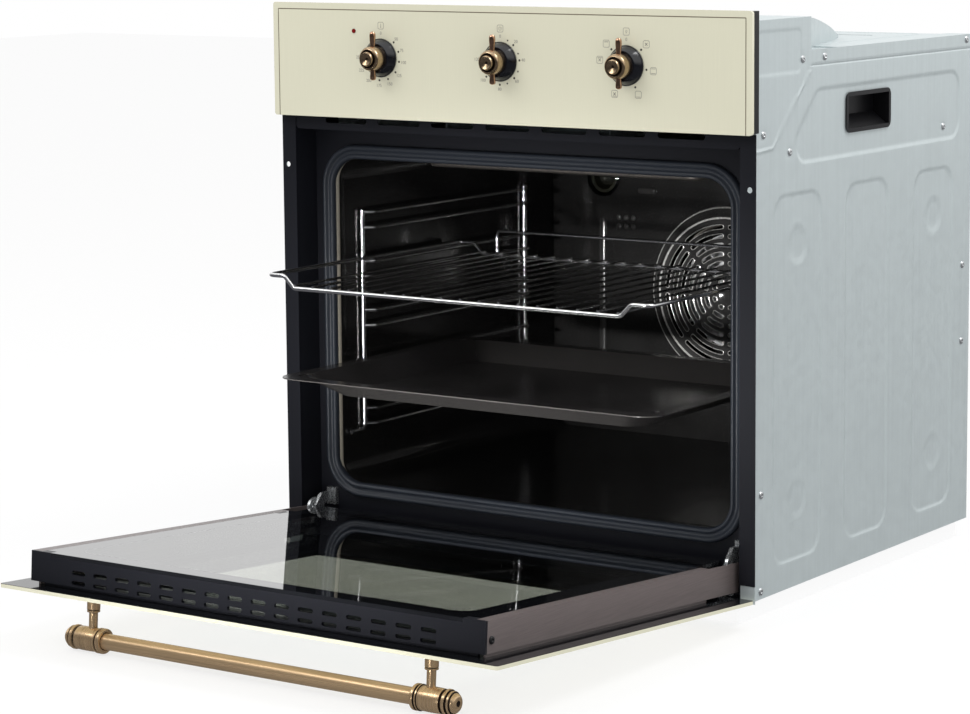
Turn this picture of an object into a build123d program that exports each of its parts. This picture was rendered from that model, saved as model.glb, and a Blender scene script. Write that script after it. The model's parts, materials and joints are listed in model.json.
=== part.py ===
from build123d import *
import math
import os

# Built-in oven, modelled in millimetres with its door open.
# X runs to the right, Y into the oven and Z up.
# The origin is at the centre of the casing's underside.
# A depth is measured from the front plane of the mounting columns into the oven.

# Casing
BODY_WIDTH = 560.0
BODY_DEPTH = 514.0
BODY_HEIGHT = 552.0
SHEET = 1.0
HOUSING_RISE = 34.0
HOUSING_DEPTH = 140.0
TOP_LIP = 30.0
TOP_LIP_START = 200.0
REAR_SLOT = 60.0
TOP_SLOT_LENGTH = 47.0
TOP_SLOT_WIDTH = 6.0
TOP_SLOT_X = 165.5
TOP_SLOT_FROM_REAR = 65.0

# Mounting columns and front frame
COLUMN_WIDTH = 16.0
COLUMN_BOTTOM = 22.5
RECESS_DEPTH = 35.0
CABINET_HOLE_Z = 421.0
CABINET_HOLE_INSET = 9.0
CABINET_HOLE_RADIUS = 3.0
RAIL_HEIGHT = 4.4

# Control panel
FACIA_OVERLAP = 17.5
PANEL_RISE = 11.5
PANEL_HEIGHT = 122.0
PANEL_THICKNESS = 4.0
FACIA_PROUD = 11.6
FACIA_CORNER = 3.0
FRAME_WALL = 1.4
FRAME_PLATE = 2.0
FRAME_WRAP = 3.0
VENT_STRIP_HEIGHT = 15.0
VENT_SLOTS = 7
VENT_SLOT_PITCH = 70.0
VENT_SLOT_LENGTH = 55.0
VENT_SLOT_HEIGHT = 6.0
VENT_SLOT_DROP = 4.5

# Knobs and what stands behind them
KNOB_SPACING = 153.0
KNOB_DROP = 57.0
SKIRT_RADIUS = 20.5
SKIRT_FRONT_RADIUS = 15.5
SKIRT_HEIGHT = 9.5
SKIRT_GAP = 0.5
BARREL_RADIUS = 12.8
BARREL_LENGTH = 15.5
CROSS_PIN_RADIUS = 3.3
CROSS_PIN_UP = 28.5
CROSS_PIN_DOWN = 23.0
CROSS_PIN_PROUD = 14.5
SHAFT_RADIUS = 3.0
SHAFT_CLEARANCE = 0.08
SHAFT_HOLE_RADIUS = 5.0
SWITCH_SIZE = 38.0
SWITCH_DEPTH = 34.0
SWITCH_BUSH_RADIUS = 6.0
BRACKET_DEPTH = 20.0
PILOT_X = -188.5
PILOT_RISE = 27.8
PILOT_RADIUS = 2.3

# Cavity
CAVITY_SIDE_SPACE = 32.0
CAVITY_FLOOR = 68.0
CAVITY_TOP_SPACE = 125.0
CAVITY_CORNER = 25.0
REAR_SPACE = 54.0
GASKET_WIDTH = 15.5
GASKET_HEIGHT = 8.2
GASKET_CORNER = 30.0
INSULATION = 20.0
FIT = 0.3

# Fan in the rear wall
FAN_Z = 245.0
FAN_COVER_RADIUS = 103.0
FAN_COVER_PROUD = 12.0
FAN_RECESS_RADIUS = 92.0
FAN_RECESS_DEPTH = 21.0
FAN_RADIUS = 70.0
FAN_BLADES = 12
FAN_SHAFT_RADIUS = 4.0
FAN_MOTOR_RADIUS = 32.0
ELEMENT_RADIUS = 3.25
GRILL_DROP = 8.0
GRILL_INSET = 65.0

# Oven lamp
LAMP_X = -175.0
LAMP_DROP = 54.0
LAMP_RADIUS = 22.0

# Side racks, shelf and tray
RACK_WIRE = 2.25
RACK_POST_WIRE = 2.7
RACK_POST_INSET = 3.5
RACK_RUNG_INSET = 14.0
RACK_FRONT = 72.0
RACK_REAR_SPACE = 68.0
RACK_HEADROOM = 63.0
RACK_PITCH = 54.8
RACK_LOOPS = 5
RACK_LOOP_DROP = 17.4
SHELF_WIRE = 2.3
SHELF_GRID_WIRE = 1.4
SHELF_INSET = 11.5
SHELF_FRONT = -103.0
SHELF_LENGTH = 348.0
SHELF_DIP = 12.5
SHELF_EAR = 36.0
SHELF_GRID_COUNT = 18
SHELF_GRID_PITCH = 23.6
SHELF_GUARD_HEIGHT = 26.0
SHELF_GUARD_INSET = 20.0
TRAY_INSET = 11.0
TRAY_FRONT = -98.0
TRAY_LENGTH = 353.0
TRAY_DEPTH = 20.0
TRAY_RIM = 15.0
TRAY_WALL_RUN = 30.0
TRAY_CORNER = 24.0

# Door
DOOR_OPENING = 85.84
PIVOT_DEPTH = -0.7
PIVOT_Z = 16.5
DOOR_BOTTOM = 20.0
DOOR_PANEL_GAP = 2.0
GLASS = 4.0
SEAM = 4.0
DOOR_THICKNESS = 38.0
DOOR_BOX_SIDE_SPACE = 8.0
DOOR_BOX_BOTTOM = 7.0
DOOR_BOX_DROP = 17.5
PROFILE_WIDTH = 12.0
PROFILE_WALL = 2.0
TRIM_WALL = 3.0
DOOR_VENT_COLUMNS = 16
DOOR_VENT_PITCH = 28.0
DOOR_VENT_LENGTH = 17.5
DOOR_VENT_HEIGHT = 4.3
DOOR_VENT_INSET = 17.0
DOOR_VENT_ROW_PITCH = 10.0
MIDDLE_GLASS_HEIGHT = 18.0
HINGE_NOTCH_TOP = 64.0
CORNER_BLOCK = 10.0

# Hinges
HINGE_PIN_RADIUS = 3.0
HINGE_ARM_THICKNESS = 4.0
HINGE_ARM_INSET = 10.0
RECEIVER_BOTTOM = 41.0
RECEIVER_TOP = 60.0
RECEIVER_PROUD = 5.0
LOCK_THICKNESS = 3.0
LOCK_PIN_RADIUS = 1.5
SPRING_RADIUS = 4.5
SPRING_LENGTH = 150.0

# Handle
HANDLE_DROP = 33.5
HANDLE_PROUD = 44.0
HANDLE_HALF = 234.0
HANDLE_POST_X = 203.5
HANDLE_BAR_RADIUS = 8.0
HANDLE_END_RADIUS = 12.5
HANDLE_END_INNER = 187.0
HANDLE_COLLAR_RADIUS = 6.5
HANDLE_COLLAR_LENGTH = 17.0
HANDLE_NECK_RADIUS = 4.5

# Casing details
GRIP_FRONT = 215.5
GRIP_REAR = 315.5
GRIP_DROP = 48.0
GRIP_HEIGHT = 42.5
GRIP_DEPTH = 20.0
GRIP_PROUD = 1.2
GRIP_LIP = 3.0
PRESSING = 1.5
SCREW_HEAD_RADIUS = 4.0
SCREW_HEAD_HEIGHT = 1.8
SCREW_RADIUS = 1.5
SCREW_LENGTH = 5.0
GLAND_RADIUS = 4.0

# Places worked out from the sizes above
FRONT = -BODY_DEPTH / 2
HALF = BODY_WIDTH / 2
INNER_HALF = HALF - SHEET
COLUMN_INNER = INNER_HALF - SHEET
FRAME_BACK = RECESS_DEPTH + SHEET
FACIA_WIDTH = BODY_WIDTH + 2 * FACIA_OVERLAP
HOUSING_HEIGHT = BODY_HEIGHT + HOUSING_RISE
CAVITY_HALF = HALF - CAVITY_SIDE_SPACE
CAVITY_TOP = BODY_HEIGHT - CAVITY_TOP_SPACE
CAVITY_BACK = BODY_DEPTH - REAR_SPACE
LINER_HALF = CAVITY_HALF + SHEET
PANEL_TOP = HOUSING_HEIGHT + PANEL_RISE
PANEL_BOTTOM = PANEL_TOP - PANEL_HEIGHT
VENT_BOTTOM = PANEL_BOTTOM - VENT_STRIP_HEIGHT
VENT_SLOT_Z = PANEL_BOTTOM - VENT_SLOT_DROP
KNOB_Z = PANEL_TOP - KNOB_DROP
PILOT_Z = KNOB_Z + PILOT_RISE
LAMP_Z = CAVITY_TOP - LAMP_DROP
RACK_REAR = CAVITY_BACK - RACK_REAR_SPACE
RACK_TOP_RUNG = CAVITY_TOP - RACK_HEADROOM
GRIP_TOP = BODY_HEIGHT - GRIP_DROP
GRIP_BOTTOM = GRIP_TOP - GRIP_HEIGHT
PANEL_BACK = -FACIA_PROUD + PANEL_THICKNESS
PLATE_BACK = PANEL_BACK + FRAME_PLATE
DOOR_TOP = PANEL_BOTTOM - DOOR_PANEL_GAP
DOOR_BOX_TOP = DOOR_TOP - DOOR_BOX_DROP
HANDLE_Z = DOOR_TOP - HANDLE_DROP
BOX_HALF = HALF - DOOR_BOX_SIDE_SPACE
HINGE_ARM_X = BOX_HALF - HINGE_ARM_INSET
PIVOT_INSET = FACIA_PROUD + PIVOT_DEPTH
TILT = math.radians(90 - DOOR_OPENING)
SHELF_RUNG_Z = RACK_TOP_RUNG - RACK_PITCH
TRAY_RUNG_Z = RACK_TOP_RUNG - 3 * RACK_PITCH
SHELF_Z = SHELF_RUNG_Z + RACK_WIRE + FIT + SHELF_WIRE
TRAY_Z = TRAY_RUNG_Z + RACK_WIRE + FIT
KNOB_NAMES = {"temperature": -KNOB_SPACING, "timer": 0.0, "function": KNOB_SPACING}

INWARD = Vector(0, math.sin(TILT), math.cos(TILT))
PIVOT = Vector(0, FRONT + PIVOT_DEPTH, PIVOT_Z)
DOOR = Plane(origin=PIVOT - INWARD * PIVOT_INSET, x_dir=(1, 0, 0), z_dir=INWARD)

os.makedirs("parts", exist_ok=True)


def block(x0, x1, y0, y1, z0, z1, mode=Mode.ADD):
    """A block between two corners, in the axes of its sub-part."""
    with Locations(((x0 + x1) / 2, (y0 + y1) / 2, (z0 + z1) / 2)):
        Box(x1 - x0, y1 - y0, z1 - z0, mode=mode)


def body_block(x0, x1, depth0, depth1, z0, z1, mode=Mode.ADD):
    """A block placed by its depths behind the column fronts."""
    block(x0, x1, FRONT + depth0, FRONT + depth1, z0, z1, mode)


def door_block(x0, x1, z0, z1, inset0, inset1, mode=Mode.ADD):
    """A block of the door, placed by its heights when shut and its insets from the outer face."""
    block(x0, x1, PIVOT_Z - z1, PIVOT_Z - z0, inset0, inset1, mode)


def side_block(side, x0, x1, depth0, depth1, z0, z1, mode=Mode.ADD):
    """A block on the left or the right, by its distances from the middle."""
    body_block(min(side * x0, side * x1), max(side * x0, side * x1), depth0, depth1, z0, z1, mode)


def rod(start, end, radius, mode=Mode.ADD):
    """A round rod from one point to another."""
    first = Vector(*start)
    axis = Vector(*end) - first
    with Locations(Plane(origin=first, z_dir=axis).location):
        Cylinder(radius, axis.length, align=(Align.CENTER, Align.CENTER, Align.MIN), mode=mode)


def ball(centre, radius, mode=Mode.ADD):
    """A ball, such as the rounded end of a rod."""
    with Locations(centre):
        Sphere(radius, mode=mode)


def wire(points, radius):
    """A bent wire: rods with a ball at each corner."""
    for start, end in zip(points, points[1:]):
        rod(start, end, radius)
    for corner in points[1:-1]:
        ball(corner, radius)


def front_plane(depth):
    """An upright plane that faces the viewer, at a depth behind the column fronts."""
    return Plane(origin=(0, FRONT + depth, 0), x_dir=(1, 0, 0), z_dir=(0, -1, 0))


def side_plane(x):
    """An upright plane that faces right, with depth to the right and height up."""
    return Plane(origin=(x, FRONT, 0), x_dir=(0, 1, 0), z_dir=(1, 0, 0))


def rounded_prism(half_width, z0, z1, radius, depth0, depth1, mode=Mode.ADD):
    """A prism with rounded corners as seen from the front, between two depths."""
    with BuildSketch(front_plane(depth0)) as outline:
        with Locations((0, (z0 + z1) / 2)):
            RectangleRounded(2 * half_width, z1 - z0, radius)
    extrude(outline.sketch, amount=depth0 - depth1, mode=mode)


def disc(x, z, radius, depth0, depth1, mode=Mode.ADD):
    """A round disc or a hole that faces the viewer, between two depths."""
    rod((x, FRONT + depth0, z), (x, FRONT + depth1, z), radius, mode)


def knob_holes(radius, depth0, depth1):
    """Holes for the three shafts."""
    for x in KNOB_NAMES.values():
        disc(x, KNOB_Z, radius, depth0, depth1, Mode.SUBTRACT)


# Side panels: 1 mm sheet with flanges, pressed figures and an opening for the grip
SCREW_PLACES = [
    (122.7, BODY_HEIGHT - 8.6), (169.0, BODY_HEIGHT - 8.2), (BODY_DEPTH - 14.0, BODY_HEIGHT - 6.0),
    (96.0, BODY_HEIGHT - 101.2), (445.4, BODY_HEIGHT - 99.3), (42.0, BODY_HEIGHT - 80.3),
    (BODY_DEPTH - 18.4, 293.4), (BODY_DEPTH - 19.0, 206.8), (39.5, 107.5), (39.5, 7.8),
]
COLUMN_PRESSINGS = [(64.5, 163.3), (218.0, 313.0), (375.0, 468.4)]
PRESSING_BOTTOM = 29.0
PRESSING_TOP = BODY_HEIGHT - 144.5
PRESSING_CORNER = 22.0
DIMPLE_RADIUS = 20.0
DIMPLE_TOP = BODY_HEIGHT - 196.0
DIMPLE_BOTTOM = 90.6
DIMPLE_PLACES = [(115.6, DIMPLE_TOP), (423.5, DIMPLE_TOP), (115.6, DIMPLE_BOTTOM), (423.5, DIMPLE_BOTTOM)]
FIGURE_POINTS = [
    (154.0, BODY_HEIGHT - 41.0), (483.0, BODY_HEIGHT - 39.3),
    (483.0, BODY_HEIGHT - 113.0), (82.0, BODY_HEIGHT - 114.0),
]
FIGURE_CORNER = 20.0


def pressing_outline(shrink):
    """The three tall columns and the upper figure, drawn in depth and height."""
    for depth0, depth1 in COLUMN_PRESSINGS:
        with Locations(((depth0 + depth1) / 2, (PRESSING_BOTTOM + PRESSING_TOP) / 2)):
            width = depth1 - depth0 - 2 * shrink
            height = PRESSING_TOP - PRESSING_BOTTOM - 2 * shrink
            RectangleRounded(width, height, PRESSING_CORNER - shrink)


def upper_figure(shrink):
    """The slanted figure above the columns, as a face."""
    with BuildSketch() as figure:
        with BuildLine():
            Polyline(*FIGURE_POINTS, close=True)
        make_face()
        fillet(figure.vertices(), radius=FIGURE_CORNER)
        if shrink:
            offset(amount=-shrink)
    return figure.sketch


for side, side_name in ((-1, "left"), (1, "right")):
    outer_plane = side_plane(side * HALF)
    with BuildPart() as side_panel:
        side_block(side, INNER_HALF, HALF, 0, BODY_DEPTH, 0, BODY_HEIGHT)
        side_block(side, INNER_HALF, HALF, 0, HOUSING_DEPTH, BODY_HEIGHT, HOUSING_HEIGHT)
        # The flange behind the mounting column
        side_block(side, HALF, HALF + COLUMN_WIDTH - 0.5, 0, SHEET, RAIL_HEIGHT, HOUSING_HEIGHT)
        # The lip over the top cover
        side_block(side, HALF - TOP_LIP, HALF, TOP_LIP_START, BODY_DEPTH, BODY_HEIGHT - SHEET, BODY_HEIGHT)
        # The pressed figures are pushed inwards by a little
        with BuildSketch(outer_plane) as pressed_outer:
            pressing_outline(0)
        with BuildSketch(outer_plane) as pressed_inner:
            pressing_outline(SHEET)
        figures = [(pressed_outer.sketch, pressed_inner.sketch)]
        figure_outer = outer_plane * upper_figure(0)
        figure_inner = outer_plane * upper_figure(SHEET)
        figures.append((figure_outer, figure_inner))
        for outer_face, inner_face in figures:
            extrude(outer_face, amount=-side * (SHEET + PRESSING))
            extrude(inner_face, amount=-side * PRESSING, mode=Mode.SUBTRACT)
        for depth, height in DIMPLE_PLACES:
            start = (side * (HALF - PRESSING), FRONT + depth, height)
            middle = (side * (HALF - 2 * PRESSING), FRONT + depth, height)
            end = (side * (HALF - 2 * PRESSING - SHEET), FRONT + depth, height)
            rod(start, end, DIMPLE_RADIUS)
            rod(start, middle, DIMPLE_RADIUS - SHEET, Mode.SUBTRACT)
        # The openings for the grip, the screws and the cabinet screw
        side_block(side, HALF - 3 * SHEET, HALF + SHEET, GRIP_FRONT + GRIP_LIP, GRIP_REAR - GRIP_LIP,
                   GRIP_BOTTOM + GRIP_LIP, GRIP_TOP - GRIP_LIP, Mode.SUBTRACT)
        for depth, height in SCREW_PLACES:
            start = (side * (HALF - 3 * SHEET), FRONT + depth, height)
            end = (side * (HALF + SHEET), FRONT + depth, height)
            rod(start, end, SCREW_RADIUS, Mode.SUBTRACT)
        disc(side * (HALF + CABINET_HOLE_INSET), CABINET_HOLE_Z, CABINET_HOLE_RADIUS,
             -SHEET, 2 * SHEET, Mode.SUBTRACT)
    side_panel.part.label = f"side_panel_{side_name}"
    export_step(side_panel.part, f"parts/side_panel_{side_name}.step")


# Base panel
with BuildPart() as base_panel:
    body_block(-INNER_HALF, INNER_HALF, 0, BODY_DEPTH - SHEET, 0, SHEET)
base_panel.part.label = "base_panel"
export_step(base_panel.part, "parts/base_panel.step")


# Rear cover with rows of cooling slots
REAR_SLOT_ROWS = 4
REAR_SLOT_COLUMNS = 4
REAR_SLOT_HEIGHT = 5.0
REAR_SLOT_ROW_PITCH = 14.0
GLAND_NECK = GLAND_RADIUS + 4.0
GLAND_FLANGE = GLAND_RADIUS + 8.0
GLAND_X = 200.0
GLAND_Z = 60.0

with BuildPart() as rear_cover:
    body_block(-INNER_HALF, INNER_HALF, BODY_DEPTH - SHEET, BODY_DEPTH, SHEET, BODY_HEIGHT - SHEET)
    with BuildSketch(front_plane(BODY_DEPTH)):
        with Locations((0, BODY_HEIGHT - 2 * REAR_SLOT)):
            with GridLocations(1.5 * REAR_SLOT, REAR_SLOT_ROW_PITCH, REAR_SLOT_COLUMNS, REAR_SLOT_ROWS):
                SlotOverall(REAR_SLOT, REAR_SLOT_HEIGHT)
    extrude(amount=2 * SHEET, mode=Mode.SUBTRACT)
    disc(GLAND_X, GLAND_Z, GLAND_NECK, BODY_DEPTH - 2, BODY_DEPTH + 2, Mode.SUBTRACT)
rear_cover.part.label = "rear_cover"
export_step(rear_cover.part, "parts/rear_cover.step")


# Cable gland
with BuildPart() as cable_gland:
    disc(GLAND_X, GLAND_Z, GLAND_NECK, BODY_DEPTH - 12, BODY_DEPTH + 6)
    disc(GLAND_X, GLAND_Z, GLAND_FLANGE, BODY_DEPTH, BODY_DEPTH + 4)
    disc(GLAND_X, GLAND_Z, GLAND_RADIUS, BODY_DEPTH - 14, BODY_DEPTH + 8, Mode.SUBTRACT)
cable_gland.part.label = "cable_gland"
export_step(cable_gland.part, "parts/cable_gland.step")


# Top cover, under the side panels' lips
TOP_PLATE = BODY_HEIGHT - SHEET
TOP_SLOT_BACK = BODY_DEPTH - TOP_SLOT_FROM_REAR + TOP_SLOT_WIDTH / 2

with BuildPart() as top_cover:
    body_block(-INNER_HALF, INNER_HALF, HOUSING_DEPTH, BODY_DEPTH - SHEET, TOP_PLATE - SHEET, TOP_PLATE)
    body_block(TOP_SLOT_X - TOP_SLOT_LENGTH / 2, TOP_SLOT_X + TOP_SLOT_LENGTH / 2,
               TOP_SLOT_BACK - TOP_SLOT_WIDTH, TOP_SLOT_BACK, TOP_PLATE - 2 * SHEET, BODY_HEIGHT, Mode.SUBTRACT)
top_cover.part.label = "top_cover"
export_step(top_cover.part, "parts/top_cover.step")


# Air duct cover: a hump that narrows and slopes down behind the housing
DUCT_OUTLINE = [(HALF - 3.0, 140.0), (HALF - 26.0, 187.0), (HALF - 76.0, 324.0), (HALF - 101.0, 387.0)]
DUCT_SLOPE = [(140.0, 33.5), (200.0, 30.4), (250.0, 25.0), (300.0, 18.0), (345.0, 10.5), (387.0, 2.5)]


def duct_solid(shrink):
    """The hump as a solid, or its inside when it is shrunk by the sheet."""
    slope = [(depth, TOP_PLATE + height - shrink) for depth, height in DUCT_SLOPE]
    plan = [(half - shrink, FRONT + depth) for half, depth in DUCT_OUTLINE]
    mirrored = [(-half, depth) for half, depth in reversed(plan)]
    with BuildPart(mode=Mode.PRIVATE) as hump:
        with BuildSketch(Plane.XY.offset(TOP_PLATE)):
            with BuildLine():
                Polyline(*plan, *mirrored, close=True)
            make_face()
        extrude(amount=2 * DUCT_SLOPE[0][1])
        with BuildSketch(side_plane(-HALF)):
            with BuildLine():
                Spline(*slope)
                Line(slope[-1], (slope[-1][0], TOP_PLATE - SHEET))
                Line((slope[-1][0], TOP_PLATE - SHEET), (slope[0][0], TOP_PLATE - SHEET))
                Line((slope[0][0], TOP_PLATE - SHEET), slope[0])
            make_face()
        extrude(amount=BODY_WIDTH, mode=Mode.INTERSECT)
    return hump.part


with BuildPart() as air_duct_cover:
    add(duct_solid(0))
    add(duct_solid(SHEET), mode=Mode.SUBTRACT)
air_duct_cover.part.label = "air_duct_cover"
export_step(air_duct_cover.part, "parts/air_duct_cover.step")


# Housing cover over the controls
with BuildPart() as housing_cover:
    body_block(-INNER_HALF, INNER_HALF, 0, HOUSING_DEPTH, HOUSING_HEIGHT - SHEET, HOUSING_HEIGHT)
    body_block(-INNER_HALF, INNER_HALF, HOUSING_DEPTH - SHEET, HOUSING_DEPTH,
               TOP_PLATE - SHEET, HOUSING_HEIGHT)
housing_cover.part.label = "housing_cover"
export_step(housing_cover.part, "parts/housing_cover.step")


# Bottom rail under the door
with BuildPart() as bottom_rail:
    body_block(-INNER_HALF, INNER_HALF, 0, RECESS_DEPTH, SHEET, 2 * SHEET)
    body_block(-INNER_HALF, INNER_HALF, -SHEET, 0, 0, RAIL_HEIGHT)
    body_block(-INNER_HALF, INNER_HALF, RECESS_DEPTH - SHEET, RECESS_DEPTH, SHEET, RAIL_HEIGHT)
bottom_rail.part.label = "bottom_rail"
export_step(bottom_rail.part, "parts/bottom_rail.step")


# Mounting columns: the black flanges beside the door and the walls of its recess
with BuildPart() as mounting_columns:
    for side in (-1, 1):
        side_block(side, COLUMN_INNER, HALF + COLUMN_WIDTH, -SHEET, 0, COLUMN_BOTTOM, PANEL_BOTTOM)
        side_block(side, COLUMN_INNER, INNER_HALF, 0, RECESS_DEPTH, RAIL_HEIGHT, PANEL_BOTTOM)
        disc(side * (HALF + CABINET_HOLE_INSET), CABINET_HOLE_Z, CABINET_HOLE_RADIUS,
             -2 * SHEET, SHEET, Mode.SUBTRACT)
mounting_columns.part.label = "mounting_columns"
export_step(mounting_columns.part, "parts/mounting_columns.step")


# Front frame round the cavity, with the air outlet above it
with BuildPart() as front_frame:
    body_block(-INNER_HALF, INNER_HALF, RECESS_DEPTH, FRAME_BACK, SHEET, PANEL_BOTTOM)
    rounded_prism(LINER_HALF, CAVITY_FLOOR - SHEET, CAVITY_TOP + SHEET, CAVITY_CORNER + SHEET,
                  RECESS_DEPTH, FRAME_BACK, Mode.SUBTRACT)
    body_block(-CAVITY_HALF, CAVITY_HALF, RECESS_DEPTH, FRAME_BACK,
               VENT_BOTTOM + SHEET, PANEL_BOTTOM - SHEET, Mode.SUBTRACT)
front_frame.part.label = "front_frame"
export_step(front_frame.part, "parts/front_frame.step")


# Vent strip under the panel
STRIP_CORNER = 5.0

with BuildPart() as vent_strip:
    with BuildSketch(front_plane(0)) as strip_face:
        with Locations((0, (VENT_BOTTOM + PANEL_BOTTOM) / 2)):
            Rectangle(2 * COLUMN_INNER, PANEL_BOTTOM - VENT_BOTTOM)
        fillet(strip_face.vertices().group_by(Axis.Y)[0], radius=STRIP_CORNER)
        with Locations((0, VENT_SLOT_Z)):
            with GridLocations(VENT_SLOT_PITCH, 0, VENT_SLOTS, 1):
                SlotOverall(VENT_SLOT_LENGTH, VENT_SLOT_HEIGHT, mode=Mode.SUBTRACT)
    extrude(amount=-SHEET)
    body_block(-COLUMN_INNER + STRIP_CORNER, COLUMN_INNER - STRIP_CORNER, SHEET, RECESS_DEPTH,
               VENT_BOTTOM, VENT_BOTTOM + SHEET)
    body_block(-COLUMN_INNER, COLUMN_INNER, SHEET, RECESS_DEPTH, PANEL_BOTTOM - SHEET, PANEL_BOTTOM)
vent_strip.part.label = "vent_strip"
export_step(vent_strip.part, "parts/vent_strip.step")


# Control panel and its frame
PILOT_HOLE = PILOT_RADIUS + 0.1

with BuildPart() as control_panel:
    rounded_prism(FACIA_WIDTH / 2, PANEL_BOTTOM, PANEL_TOP, FACIA_CORNER, -FACIA_PROUD, PANEL_BACK)
    knob_holes(SHAFT_HOLE_RADIUS, -FACIA_PROUD - 1, PANEL_BACK + 1)
    disc(PILOT_X, PILOT_Z, PILOT_HOLE, -FACIA_PROUD - 1, PANEL_BACK + 1, Mode.SUBTRACT)
control_panel.part.label = "control_panel"
export_step(control_panel.part, "parts/control_panel.step")

FRAME_HALF = HALF + COLUMN_WIDTH + 1.0
FRAME_BOTTOM = PANEL_BOTTOM + 1.5
FRAME_TOP = PANEL_TOP - 0.5
BOSS_RADIUS = 4.0
BOSS_HEIGHTS = (PANEL_BOTTOM + 20, HOUSING_HEIGHT - 15)

with BuildPart() as panel_frame:
    body_block(-FRAME_HALF, FRAME_HALF, PANEL_BACK, FRAME_WRAP, FRAME_BOTTOM, FRAME_TOP)
    body_block(-FRAME_HALF + FRAME_WALL, FRAME_HALF - FRAME_WALL, PLATE_BACK, FRAME_WRAP,
               FRAME_BOTTOM - 1, FRAME_TOP - FRAME_WALL, Mode.SUBTRACT)
    body_block(-FRAME_HALF + FRAME_WALL, FRAME_HALF - FRAME_WALL, PLATE_BACK, -SHEET,
               FRAME_BOTTOM, FRAME_BOTTOM + FRAME_WALL)
    # Four bosses reach back to the flanges and the housing
    for side in (-1, 1):
        for height in BOSS_HEIGHTS:
            disc(side * (HALF + CABINET_HOLE_INSET), height, BOSS_RADIUS, PLATE_BACK, 0)
    knob_holes(SHAFT_HOLE_RADIUS, PANEL_BACK - 1, PLATE_BACK + 1)
    disc(PILOT_X, PILOT_Z, PILOT_HOLE, PANEL_BACK - 1, PLATE_BACK + 1, Mode.SUBTRACT)
panel_frame.part.label = "panel_frame"
export_step(panel_frame.part, "parts/panel_frame.step")


# Pilot lamp
PILOT_PROUD = 0.8
PILOT_BODY_LENGTH = 14.0

with BuildPart() as pilot_lamp:
    disc(PILOT_X, PILOT_Z, PILOT_RADIUS, -FACIA_PROUD - PILOT_PROUD, PLATE_BACK)
    disc(PILOT_X, PILOT_Z, 2 * PILOT_RADIUS, PLATE_BACK, PLATE_BACK + PILOT_BODY_LENGTH)
pilot_lamp.part.label = "pilot_lamp"
export_step(pilot_lamp.part, "parts/pilot_lamp.step")


# Bracket that carries the switches
BRACKET_BACK = BRACKET_DEPTH + 1.5 * SHEET

with BuildPart() as switch_bracket:
    body_block(-INNER_HALF, INNER_HALF, BRACKET_DEPTH, BRACKET_BACK,
               PANEL_BOTTOM, HOUSING_HEIGHT - SHEET)
    knob_holes(SWITCH_BUSH_RADIUS, BRACKET_DEPTH - 1, BRACKET_BACK + 1)
switch_bracket.part.label = "switch_bracket"
export_step(switch_bracket.part, "parts/switch_bracket.step")


# Thermostat, timer and function switch
def switch_body(x, depth):
    """A square body with the bush that its shaft turns in."""
    half = SWITCH_SIZE / 2
    body_block(x - half, x + half, BRACKET_BACK, BRACKET_BACK + depth, KNOB_Z - half, KNOB_Z + half)
    disc(x, KNOB_Z, SWITCH_BUSH_RADIUS, 2, BRACKET_BACK)
    disc(x, KNOB_Z, SHAFT_RADIUS + SHAFT_CLEARANCE, 0, BRACKET_BACK + SWITCH_DEPTH / 2, Mode.SUBTRACT)


SENSOR_X = 60.0
SENSOR_Z = CAVITY_TOP - 32
SENSOR_RADIUS = 2.5
SENSOR_LENGTH = 90.0
SENSOR_PROUD = 8.0
SENSOR_CLIP_INSET = 10.0
SENSOR_CLIP_HALF = 3.0
TIMER_EXTRA_DEPTH = 14.0
FUNCTION_EXTRA_DEPTH = 22.0

with BuildPart() as thermostat:
    switch_body(-KNOB_SPACING, SWITCH_DEPTH)
    # The sensor's bulb hangs on a bracket on the cavity's rear wall
    bulb_y = FRONT + CAVITY_BACK - SENSOR_PROUD
    rod((SENSOR_X, bulb_y, SENSOR_Z), (SENSOR_X + SENSOR_LENGTH, bulb_y, SENSOR_Z), SENSOR_RADIUS)
    for x in (SENSOR_X + SENSOR_CLIP_INSET, SENSOR_X + SENSOR_LENGTH - SENSOR_CLIP_INSET):
        body_block(x - SENSOR_CLIP_HALF, x + SENSOR_CLIP_HALF, CAVITY_BACK - SENSOR_PROUD, CAVITY_BACK,
                   SENSOR_Z - SHEET, SENSOR_Z + SHEET)
thermostat.part.label = "thermostat"
export_step(thermostat.part, "parts/thermostat.step")

with BuildPart() as timer:
    switch_body(0, SWITCH_DEPTH + TIMER_EXTRA_DEPTH)
timer.part.label = "timer"
export_step(timer.part, "parts/timer.step")

with BuildPart() as function_switch:
    switch_body(KNOB_SPACING, SWITCH_DEPTH + FUNCTION_EXTRA_DEPTH)
function_switch.part.label = "function_switch"
export_step(function_switch.part, "parts/function_switch.step")


# Knobs: a black skirt, and a brass grip on the shaft
SKIRT_BACK = -FACIA_PROUD - SKIRT_GAP
SKIRT_FACE = SKIRT_BACK - SKIRT_HEIGHT
BARREL_FACE = SKIRT_FACE - BARREL_LENGTH
PIN_DEPTH = -FACIA_PROUD - CROSS_PIN_PROUD

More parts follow.
